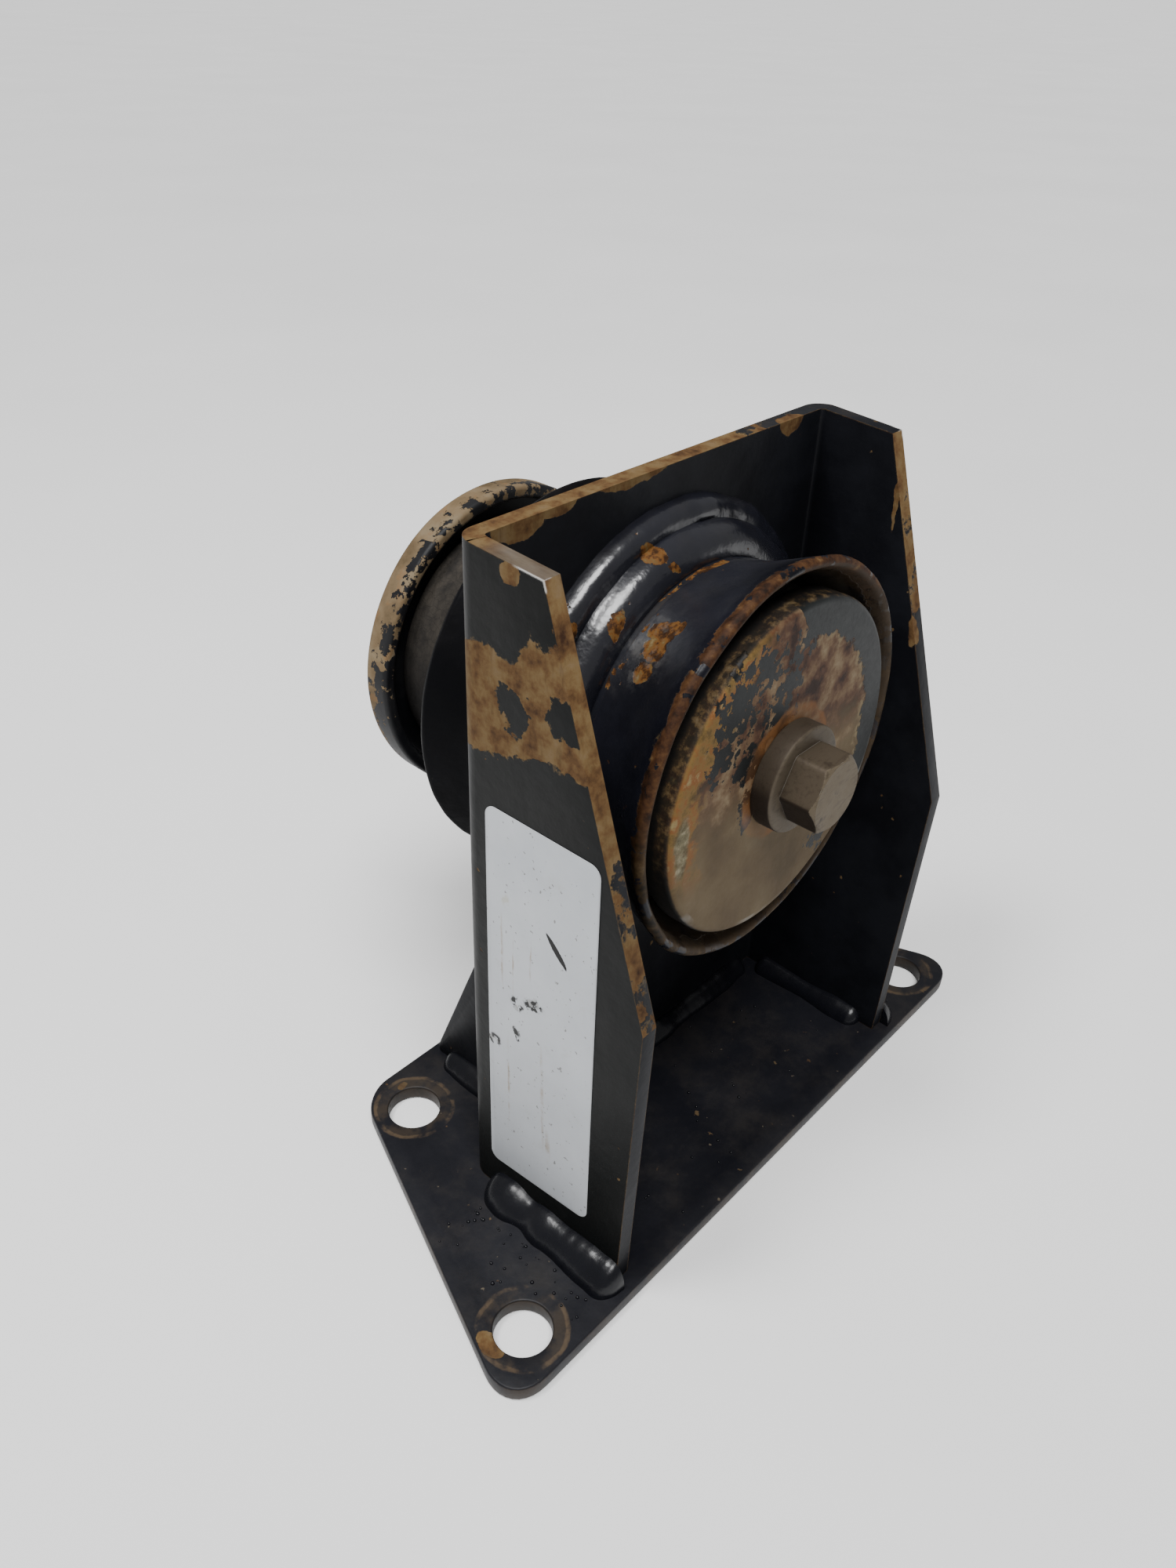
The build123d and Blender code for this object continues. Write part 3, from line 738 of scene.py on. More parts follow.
@dataclass(frozen=True)
class FastenerFinish:
    """Dull steel with a thin brown film, with painted shade on its down-left and side facets and a
    painted highlight along its edges, where the steel is also rubbed.
    """

    name: str
    film: Colour = (0.1, 0.0752, 0.0473)
    dark: Colour = (0.025, 0.0175, 0.0117)
    metal: float = 0.45

    def build(self) -> bpy.types.Material:
        """Makes the material."""
        g = Graph(self.name)
        fine = g.noise(700.0, 5.0, 0.65)
        patchy = g.noise(120.0, 6.0, 0.65)
        streak = g.noise(800.0, 3.0, 0.5, g.stretched((0.3, 1.0, 1.0)))
        colour = g.ramp(patchy, (0.28, self.dark), (0.42, self.film), (0.62, self.film),
                        (0.80, Tone.STEEL.value))
        colour = g.coat(colour, self.dark, g.step(streak, 0.5, 0.7), 0.3)
        # Painted shade: facets that face down and to the left are darkened to near black.
        shade = g.step(g.face_x + g.face_z, -0.6, -1.0) * g.step(g.face_y, -0.6, -0.2)
        colour = g.coat(colour, (0.008, 0.005, 0.004), shade, 0.9)
        # Painted shade: faces that point sideways, the hexagon flats and washer rims, are darkened.
        painted_flank_shade = g.step(g.size(g.face_y), 0.6, 0.3)
        colour = g.coat(colour, (0.030, 0.021, 0.015), painted_flank_shade, 0.55)
        # Painted highlight along the edges, where the steel is also rubbed smoother.
        rubbed = g.step(g.edges(0.7) * 1.6 + fine * 0.3, 0.32, 0.46)
        colour = g.coat(colour, (0.275, 0.26, 0.235), rubbed, 0.7)
        rough = 0.42 + (patchy * 0.35 - rubbed * 0.18)
        return g.finish(colour, rough, g.bump(fine + patchy * 0.8, 0.07), self.metal)


@dataclass(frozen=True)
class RubberFinish:
    """Old rubber: matte grey-black, dusty on top, faintly ringed and crazed."""

    name: str = "dusty_rubber"
    axis_z: float = AXIS_Z * MM

    def build(self) -> bpy.types.Material:
        """Makes the material."""
        g = Graph(self.name)
        base = g.ramp(g.noise(55.0, 6.0, 0.6), (0.30, (0.0055, 0.0052, 0.0052)),
                      (0.70, (0.014, 0.0125, 0.0118)))
        dust = g.step(g.face_z, -0.25, 0.9) * g.mottle(0.28, 0.68, 75.0, 7.0, 0.65)
        colour = g.coat(base, (0.0775, 0.0655, 0.0518), dust, 0.62)
        crazed = g.node("ShaderNodeTexVoronoi", Vector=g.ragged(0.8, 400.0), Scale=420.0)
        crazed.feature = "DISTANCE_TO_EDGE"
        lines = g.step(crazed.outputs["Distance"], 0.06, 0.0)
        colour = g.coat(colour, (0.0044, 0.0044, 0.0044), lines, 0.35)
        rings = g.math("SINE", g.y * 2600.0)
        relief = rings * 0.12 + (g.noise(300.0, 5.0, 0.6) - lines * 0.3)
        return g.finish(colour, 0.72 + dust * 0.18, g.bump(relief, 0.15))


@dataclass(frozen=True)
class Mark:
    """A scuff or drip on the label, in millimetres on the cheek: Y, Z, half sizes, lean."""

    y: float
    z: float
    half_y: float
    half_z: float
    lean: float = 0.0


@dataclass(frozen=True)
class LabelFinish:
    """Pale film with fine specks, brown drips, dark scuffs and one torn slit."""

    name: str = "label_film_finish"
    slit: Mark = Mark(-35.3, 137.4, 1.2, 6.8, 0.72)
    scuffs: tuple[Mark, ...] = (Mark(-18.8, 105.0, 3.0, 3.2), Mark(-25.8, 109.2, 4.8, 3.4, 0.5),
                                Mark(-8.4, 82.0, 3.0, 3.2), Mark(-18.6, 91.2, 1.8, 3.2, 0.3))
    drips: tuple[Mark, ...] = (Mark(-12.0, 124.0, 0.7, 19.0, 0.02), Mark(-17.0, 121.0, 0.5, 15.0),
                               Mark(-30.2, 70.0, 1.0, 30.0, 0.03), Mark(-14.5, 66.0, 0.7, 26.0),
                               Mark(-33.0, 48.0, 1.6, 10.0, 0.05), Mark(-24.5, 127.0, 0.5, 11.0))
    worn_spot: Mark = Mark(-13.5, 145.0, 2.8, 4.0, 0.4)

    def depth(self, g: Graph, mark: Mark, at: Value) -> Mask:
        """How far inside a mark a place is."""
        turned = g.node("ShaderNodeVectorRotate", Vector=at, Center=(0.0, mark.y * MM, mark.z * MM),
                        Angle=mark.lean)
        turned.rotation_type = "X_AXIS"
        flat = g.vector("MULTIPLY", turned.outputs[0], (0.0, 1.0, 1.0))
        return g.blob((0.0, mark.y, mark.z), (1.0, mark.half_y, mark.half_z), flat)

    def build(self) -> bpy.types.Material:
        """Makes the material."""
        g = Graph(self.name)
        film = g.ramp(g.noise(26.0, 5.0, 0.6), (0.30, (0.43, 0.45, 0.475)),
                      (0.70, (0.52, 0.54, 0.565)))
        grime = g.mottle(0.56, 0.80, 120.0, 7.0, 0.7)
        colour = g.coat(film, (0.34, 0.33, 0.29), grime, 0.30)
        wavy = g.ragged(1.1, 60.0)
        drips = g.most(*(self.depth(g, d, wavy) for d in self.drips))
        runs = g.step(drips, 0.0, 0.7) * g.mottle(0.34, 0.62, 170.0, 5.0, 0.6)
        colour = g.coat(colour, (0.30, 0.235, 0.165), runs, 0.75)
        torn = g.ragged(2.2, 260.0, 6.0)
        scuffs = g.most(*(self.depth(g, s, torn) for s in self.scuffs))
        bruise = g.step(scuffs, -0.35, 0.5) * g.mottle(0.46, 0.6, 330.0, 5.0, 0.6)
        colour = g.coat(colour, (0.16, 0.15, 0.12), bruise, 0.5)
        holed = g.step(scuffs, 0.0, 0.25) * g.mottle(0.46, 0.53, 420.0, 4.0, 0.6)
        worn = (g.step(self.depth(g, self.worn_spot, torn), 0.0, 0.4)
                * g.mottle(0.44, 0.6, 300.0, 5.0))
        colour = g.coat(colour, (0.40, 0.39, 0.32), worn, 0.6)
        slit = g.step(self.depth(g, self.slit, g.ragged(0.7, 300.0)), 0.0, 0.12)
        specks = g.mottle(0.70, 0.74, 620.0, 2.0, 0.4)
        colour = g.coat(colour, (0.13, 0.12, 0.11), specks, 0.7)
        through = g.most(slit, holed)
        colour = g.blend(through, colour, (0.008, 0.008, 0.008))
        rim = g.step(g.edges(0.8), 0.03, 0.2)
        colour = g.coat(colour, (0.30, 0.29, 0.27), rim, 0.5)
        relief = 1.0 - through + g.noise(180.0, 4.0) * 0.14
        return g.finish(colour, 0.40 + grime * 0.2, g.bump(relief, 0.12))


# Mesh tools ----------------------------------------------------------------------------


class Form:
    """A mesh under construction in millimetres, and what turns it into a finished piece."""

    def __init__(self) -> None:
        """Starts with an empty mesh."""
        self.bm = bmesh.new()

    def outline(self, points: Sequence[Vector], rounds: Optional[dict[int, float]] = None,
                segments: int = 8) -> bmesh.types.BMFace:
        """A flat face through the points, with some of its corners rounded.

        Args:
            points: the corners in order.
            rounds: corner number to how far the rounding reaches along its edges.
            segments: edges in each rounding.

        Returns:
            The face.
        """
        corners = [self.bm.verts.new(p) for p in points]
        face = self.bm.faces.new(corners)
        for index, reach in (rounds or {}).items():
            bmesh.ops.bevel(self.bm, geom=[corners[index]], offset=reach, offset_type="OFFSET",
                            segments=segments, profile=0.5, affect="VERTICES", material=-1,
                            clamp_overlap=True)
        self.bm.faces.ensure_lookup_table()
        return self.bm.faces[-1] if not face.is_valid else face

    def open_up(self) -> None:
        """Takes the faces out and leaves their outlines."""
        bmesh.ops.delete(self.bm, geom=self.bm.faces[:], context="FACES_ONLY")

    def thicken(self, depth: Vector) -> None:
        """Extrudes the flat faces to a closed solid along a vector."""
        made = bmesh.ops.extrude_face_region(self.bm, geom=self.bm.faces[:])
        moved = [v for v in made["geom"] if isinstance(v, bmesh.types.BMVert)]
        bmesh.ops.translate(self.bm, verts=moved, vec=depth)
        bmesh.ops.recalc_face_normals(self.bm, faces=self.bm.faces[:])

    def soften(self, width: float, segments: int = 3, angle: float = 55.0) -> None:
        """Bevels every edge that turns more than an angle in degrees."""
        sharp = [e for e in self.bm.edges if e.is_manifold
                 and e.calc_face_angle(0.0) > math.radians(angle)]
        bmesh.ops.bevel(self.bm, geom=sharp, offset=width, offset_type="OFFSET", segments=segments,
                        profile=0.5, affect="EDGES", material=-1, clamp_overlap=True)

    def sculpt(self, move: Callable[[Vector], Vector]) -> None:
        """Moves each vertex to where move says."""
        for vert in self.bm.verts:
            vert.co = move(vert.co)

    def piece(self, name: str, body: Body, slot: Slot, finish: bpy.types.Material, *nodes: str,
              crease: float = 40.0) -> bpy.types.Object:
        """Closes the mesh and makes it a piece that stands for CAD nodes.

        Args:
            name: the piece's name.
            body: the CAD body it rides on.
            slot: its material slot; not used.
            finish: its material.
            nodes: the CAD nodes it stands for.
            crease: edges that turn more than this many degrees stay sharp.

        Returns:
            The object.
        """
        bmesh.ops.remove_doubles(self.bm, verts=self.bm.verts[:], dist=MERGE)
        bmesh.ops.recalc_face_normals(self.bm, faces=self.bm.faces[:])
        bmesh.ops.scale(self.bm, vec=(MM, MM, MM), verts=self.bm.verts[:])
        mesh = bpy.data.meshes.new(name)
        self.bm.to_mesh(mesh)
        self.bm.free()
        mesh.shade_smooth()
        mesh.set_sharp_from_angle(angle=math.radians(crease))
        mesh.materials.append(finish)
        made = bpy.data.objects.new(name, mesh)
        bpy.context.scene.collection.objects.link(made)
        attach(made, body.value)
        if nodes:
            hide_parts(*nodes)
        LOG.info("%s: %d faces, rides on %s", name, len(mesh.polygons), body.value)
        return made


def bow(start: Point, through: Point, end: Point, count: int = 8) -> list[Point]:
    """Points along a smooth bow through three points, its ends left out."""
    control = (2 * through[0] - (start[0] + end[0]) / 2, 2 * through[1] - (start[1] + end[1]) / 2)
    made = []
    for i in range(1, count):
        t = i / count
        made.append(tuple((1 - t) ** 2 * s + 2 * t * (1 - t) * c + t * t * e
                          for s, c, e in zip(start, control, end)))
    return made


def flow(points: Sequence[Point], count: int = 5) -> list[Point]:
    """A smooth line through the points, with count steps between each pair."""
    padded = [points[0], *points, points[-1]]
    made = []
    for a, b, c, d in zip(padded, padded[1:], padded[2:], padded[3:]):
        for i in range(count):
            t = i / count
            made.append(tuple(0.5 * (2 * q + (r - p) * t + (2 * p - 5 * q + 4 * r - s) * t * t
                                     + (3 * q - p - 3 * r + s) * t ** 3)
                              for p, q, r, s in zip(a, b, c, d)))
    return [*made, points[-1]]


def wobble(place: Vector, size: float, reach: float, shift: float = 0.0) -> float:
    """Smooth noise at a place: features of a size and up to a reach, in millimetres."""
    return reach * noise.noise(Vector((place.x / size + shift, place.y / size, place.z / size)))


@dataclass
class Axis:
    """The barrel's axis and how pieces are turned about it."""

    height: float
    web_front: float
    web_back: float
    steps: int = 160

    def along(self, distance: float, end: End) -> float:
        """Y at a distance from the web, on one side of it."""
        return self.web_front - distance if end is End.FRONT else self.web_back + distance

    def turned(self, profile: Sequence[Point], rounds: Optional[dict[int, float]] = None,
               segments: int = 6) -> Form:
        """Spins a closed outline of (Y, radius) points about the axis."""
        form = Form()
        form.outline([Vector((0.0, y, self.height + r)) for y, r in profile], rounds, segments)
        form.open_up()
        bmesh.ops.spin(form.bm, geom=[*form.bm.verts, *form.bm.edges], cent=(0.0, 0.0, self.height),
                       axis=(0.0, 1.0, 0.0), angle=FULL_TURN, steps=self.steps, use_merge=True)
        return form

    def pushed(self, place: Vector, amount: float) -> Vector:
        """A place moved outwards from the axis."""
        out = Vector((place.x, 0.0, place.z - self.height))
        return place + out.normalized() * amount if out.length > 1e-6 else place


# Sub-assemblies ------------------------------------------------------------------------


@dataclass
class Plates:
    """The base plate, the bent upright and the two rear gussets."""

    half_width: float
    top: float
    sheet: float = 6.0
    hole_r: float = 10.0
    holes: tuple[Point, ...] = ((-120.0, -55.0), (120.0, -55.0), (83.0, 42.0), (-83.0, 42.0))
    plate: tuple[Point, ...] = ((-144.4, -72.3), (144.4, -72.3), (93.1, 61.0), (-93.1, 61.0))
    plate_rounds: tuple[float, ...] = (18.0, 18.0, 12.0, 12.0)
    rubbed: float = 0.8
    bend_r: float = 7.5
    tube_r: float = 59.0
    cheek: tuple[Point, ...] = ((0.0, 256.5), (-28.0, 254.5), (-69.5, 126.0), (-66.0, 6.0))
    cheek_end: float = -69.5
    inside: Point = (-30.0, 130.0)
    gusset: tuple[Point, ...] = ((6.0, 6.0), (57.5, 6.0), (57.5, 10.0), (17.0, 112.0), (6.0, 112.0))
    gusset_x: float = 50.0

    def holed_face(self, form: Form, outer: list[bmesh.types.BMEdge],
                   rings: list[tuple[Vector, float]], turn: Matrix) -> None:
        """Fills an outline and leaves round holes in it."""
        edges = list(outer)
        for centre, radius in rings:
            made = bmesh.ops.create_circle(form.bm, segments=64, radius=radius,
                                           matrix=Matrix.Translation(centre) @ turn)
            edges += dict.fromkeys(e for v in made["verts"] for e in v.link_edges)
        bmesh.ops.triangle_fill(form.bm, use_beauty=True, use_dissolve=False, edges=edges)

    def build_plate(self) -> None:
        """The plate, cut to shape and rubbed at its rims."""
        form = Form()
        corners = [Vector((x, y, 0.0)) for x, y in self.plate]
        form.outline(corners, dict(enumerate(self.plate_rounds)), 10)
        form.open_up()
        self.holed_face(form, form.bm.edges[:], [(Vector((x, y, 0.0)), self.hole_r)
                                                 for x, y in self.holes], Matrix.Identity(4))
        form.thicken(Vector((0.0, 0.0, self.sheet)))
        form.soften(self.rubbed)
        patches = Patch.rows((-131.8, -51.8, 6.0, 3.4, 6.2, 3.0), (-79.0, 53.5, 6.0, 2.2, 1.6, 2.0),
                             (45.7, -5.0, 6.0, 2.0, 1.6, 2.0))
        finish = PlatePaint("plate_paint", holes=self.holes, hole_r=self.hole_r, gloss=0.40,
                            tear=2.6, edge_wear=0.34, spots=0.3, dust=0.10,
                            paint=(0.0048, 0.0050, 0.0075), lift=(0.0080, 0.0082, 0.0112),
                            shine=0.22, patches=patches).build()
        form.piece("painted_base_plate", Body.BRACKET, Slot.PAINT, finish, "base_plate")

    def build_upright(self) -> None:
        """One sheet: the web, then a bend and a cheek spun and drawn out on each side."""
        form = Form()
        bm = form.bm
        flat = self.half_width - self.bend_r
        rows = [self.sheet, self.top]
        corners = [bm.verts.new((x, self.sheet, z)) for x, z in ((-flat, rows[0]), (flat, rows[0]),
                                                                 (flat, rows[1]), (-flat, rows[1]))]
        rim = [bm.edges.new((a, b)) for a, b in zip(corners, corners[1:] + corners[:1])]
        self.holed_face(form, rim, [(Vector((0.0, self.sheet, AXIS_Z)), self.tube_r)],
                        Matrix.Rotation(math.pi / 2, 4, "X"))
        centre_y = self.sheet - self.bend_r
        for sign in (-1.0, 1.0):
            side = [e for e in bm.edges if e.is_valid and all(abs(v.co.x - sign * flat) < 1e-4
                                                              and abs(v.co.y - self.sheet) < 1e-4
                                                              for v in e.verts)]
            bent = bmesh.ops.spin(bm, geom=[*dict.fromkeys(v for e in side for v in e.verts),
                                            *side], cent=(sign * flat, centre_y, 0.0),
                                  axis=(0.0, 0.0, 1.0), dvec=(0.0, 0.0, 0.0),
                                  angle=-sign * math.pi / 2, steps=8)
            last = [e for e in bent["geom_last"] if isinstance(e, bmesh.types.BMEdge)]
            drawn = bmesh.ops.extrude_edge_only(bm, edges=last)
            moved = [v for v in drawn["geom"] if isinstance(v, bmesh.types.BMVert)]
            bmesh.ops.translate(bm, verts=moved, vec=(0.0, self.cheek_end - centre_y, 0.0))
        bmesh.ops.recalc_face_normals(bm, faces=bm.faces[:])
        for (y0, z0), (y1, z1) in zip(self.cheek, self.cheek[1:]):
            away = Vector((0.0, z1 - z0, y0 - y1))
            if away.dot(Vector((0.0, y0 - self.inside[0], z0 - self.inside[1]))) < 0:
                away.negate()
            bmesh.ops.bisect_plane(bm, geom=[*bm.verts, *bm.edges, *bm.faces], dist=1e-4,
                                   plane_co=(0.0, y0, z0), plane_no=away, clear_outer=True)
        middle = next(f for f in bm.faces if abs(f.calc_center_median().y - self.sheet) < 1e-3)
        if middle.normal.y < 0:
            bmesh.ops.reverse_faces(bm, faces=bm.faces[:])
        bmesh.ops.solidify(bm, geom=bm.faces[:], thickness=self.sheet)
        form.soften(0.7, 3, 60.0)
        chips = Patch.rows((-66.0, 0.0, 256.0, 11.0, 4.0, 5.5), (-52.0, 0.0, 257.5, 9.0, 4.0, 3.6),
                           (-18.0, 0.0, 257.5, 16.0, 4.0, 3.8), (62.0, 0.0, 257.0, 7.0, 4.0, 6.0),
                           (-self.half_width, -16.1, 252.6, 4.0, 3.4, 2.8),
                           (self.half_width - 6, -33.4, 237.0, 3.0, 1.2, 16.0),
                           (self.half_width - 6, -49.4, 191.0, 3.0, 2.0, 9.0))
        finish = UprightPaint("upright_paint", patches=chips, left_x=-self.half_width, gloss=0.36,
                              tear=3.2, edge_wear=0.5, spots=0.4, dust=0.15).build()
        form.piece("bent_upright", Body.BRACKET, Slot.PAINT, finish, "upright_channel")

    def build_gussets(self) -> None:
        """The two rear gussets, flame-cut with softened rims."""
        finish = WornPaint("gusset_paint", gloss=0.40, edge_wear=0.45, spots=0.4, dust=0.2).build()
        for name, x in (("right_gusset", self.gusset_x),
                        ("left_gusset", -self.gusset_x - self.sheet)):
            form = Form()
            form.outline([Vector((x, y, z)) for y, z in self.gusset])
            form.thicken(Vector((self.sheet, 0.0, 0.0)))
            form.soften(0.7)
            form.piece(f"painted_{name}", Body.BRACKET, Slot.PAINT, finish, name)


@dataclass
class Bead:
    """A straight fillet weld: its root's start, its run, and its two legs' directions."""

    node: str
    root: Vector
    run: Vector
    leg_a: Vector
    leg_b: Vector
    leg: float
    pitch: float = 5.2
    ripple: float = 0.004
    swell: float = 0.20
    waist: float = 0.0
    waist_at: float = 21.0
    slice: float = 0.55

    def form(self, seed: float, into: Optional[Form] = None) -> Form:
        """Draws the bead's section along its run, then ripples and rounds its ends."""
        form = into or Form()
        start = set(form.bm.verts)
        count = max(24, int(self.run.length / self.slice))
        section = [Vector((0.0, 0.0)), Vector((1.0, 0.0))]
        section += [Vector((math.cos(a) ** 1.2, math.sin(a) ** 1.2))
                    for a in (math.pi / 2 * i / 9 for i in range(1, 9))]
        section += [Vector((0.0, 1.0))]
        ring = [form.bm.verts.new(self.root + (self.leg_a * p.x + self.leg_b * p.y) * self.leg)
                for p in section]
        edges = [form.bm.edges.new((a, b)) for a, b in zip(ring, ring[1:] + ring[:1])]
        bmesh.ops.spin(form.bm, geom=[*ring, *edges], cent=self.root, axis=self.run.normalized(),
                       dvec=self.run / count, angle=0.0, steps=count)
        new = [v for v in form.bm.verts if v not in start]
        ends = [e for e in form.bm.edges if e.is_boundary and all(v in set(new) for v in e.verts)]
        bmesh.ops.holes_fill(form.bm, edges=ends)
        along = self.run.normalized()
        for vert in new:
            offset = vert.co - self.root
            t = offset.dot(along)
            across = offset - along * t
            tip = min(t, self.run.length - t) / (0.75 * self.leg)
            close = math.sqrt(max(0.0, 1 - (1 - min(1.0, tip)) ** 2)) * 0.98 + 0.02
            lean = across.length / self.leg
            scale = math.sin(FULL_TURN * (t / self.pitch + 0.35 * lean) + 2.2
                             * noise.noise(Vector((t / 9, seed, 0))))
            wide = self.swell * noise.noise(Vector((t / 13 + 7 * seed, 1.6 * lean, seed)))
            pinch = self.waist * math.exp(-((t - self.waist_at) / 5.5) ** 2)
            vert.co = (self.root + along * t + across * close
                       * (1 + self.ripple * scale + wide - pinch))
        return form


@dataclass
class Welds:
    """The foot and gusset welds, and the spatter round them."""

    half_width: float
    sheet: float = 6.0
    leg: float = 10.0
    inner_leg: float = 6.0
    gusset_leg: float = 6.5
    gusset_out: float = 56.0
    wall_leg: float = 5.0
    cheek_run: float = 64.5
    inner_run: float = 53.0
    web_run: float = 147.0
    rear_run: float = 99.0
    foot_run: float = 36.0
    wall_run: float = 80.0
    seed: int = 11
    drops: int = 90
    drop_r: Point = (0.28, 0.75)
    beside: float = 0.6
    hole: Point = (120.0, -55.0)
    hole_gap: float = 13.0
    reach: float = 118.0

    def beads(self) -> list[Bead]:
        """Every straight bead, with its place."""
        up, z = Vector((0, 0, 1)), self.sheet
        inner = self.half_width - self.sheet
        made = []
        for name, s in SIDES:
            out = Vector((s, 0, 0))
            made.append(Bead(f"{name}_cheek_weld", Vector((s * self.half_width, -5.5, z)),
                             Vector((0, -self.cheek_run, 0)), out, up, self.leg, waist=0.24))
            made.append(Bead(f"{name}_inner_weld", Vector((s * inner, -6.5, z)),
                             Vector((0, -self.inner_run, 0)), -out, up, self.inner_leg))
        made.append(Bead("web_front_weld", Vector((-self.web_run / 2, 0, z)),
                         Vector((self.web_run, 0, 0)), Vector((0, -1, 0)), up, self.inner_leg))
        made.append(Bead("web_rear_weld", Vector((-self.rear_run / 2, self.sheet, z)),
                         Vector((self.rear_run, 0, 0)), Vector((0, 1, 0)), up, self.inner_leg))
        return made

    def build(self) -> None:
        """All the beads, then the spatter."""
        finish = WornPaint("weld_paint", paint=(0.0035, 0.0038, 0.0055),
                           lift=(0.0055, 0.0058, 0.0080), gloss=0.18, edge_wear=0.0, spots=0.2,
                           dust=0.03, peel=0.06, shine=0.3).build()
        for index, bead in enumerate(self.beads()):
            bead.form(1.7 * index + 0.4).piece(f"rippled_{bead.node}", Body.BRACKET, Slot.WELD,
                                               finish, bead.node, crease=70.0)
        for index, (name, s) in enumerate(SIDES):
            out = Vector((s, 0, 0))
            foot = Bead("", Vector((s * self.gusset_out, 51.5, self.sheet)),
                        Vector((0, -self.foot_run, 0)), out, Vector((0, 0, 1)), self.gusset_leg)
            wall = Bead("", Vector((s * self.gusset_out, self.sheet, 20.0)),
                        Vector((0, 0, self.wall_run)), out, Vector((0, 1, 0)), self.wall_leg)
            form = foot.form(9.0 + index)
            wall.form(13.0 + index, form).piece(f"rippled_{name}_gusset_weld", Body.BRACKET,
                                                Slot.WELD, finish, f"{name}_gusset_weld",
                                                crease=70.0)
        self.build_spatter(finish)

    def build_spatter(self, finish: bpy.types.Material) -> None:
        """Small drops frozen to the plate beside the cheek welds and inside the channel."""
        draw = Random(self.seed)
        form = Form()
        for _ in range(self.drops):
            side = draw.choice((-1.0, -1.0, 1.0))
            near = draw.random() < self.beside
            x = side * (self.half_width + self.leg + 1.2
                        + draw.expovariate(0.16)) if near else draw.uniform(-70, 70)
            y = draw.uniform(-66.0, -6.0)
            if abs(x) > self.reach or math.dist((abs(x), y), self.hole) < self.hole_gap:
                continue
            size = draw.uniform(*self.drop_r)
            bmesh.ops.create_icosphere(form.bm, subdivisions=2, radius=size,
                                       matrix=Matrix.Translation((x, y, self.sheet + 0.15 * size)))
        form.piece("weld_spatter", Body.BRACKET, Slot.WELD, finish)


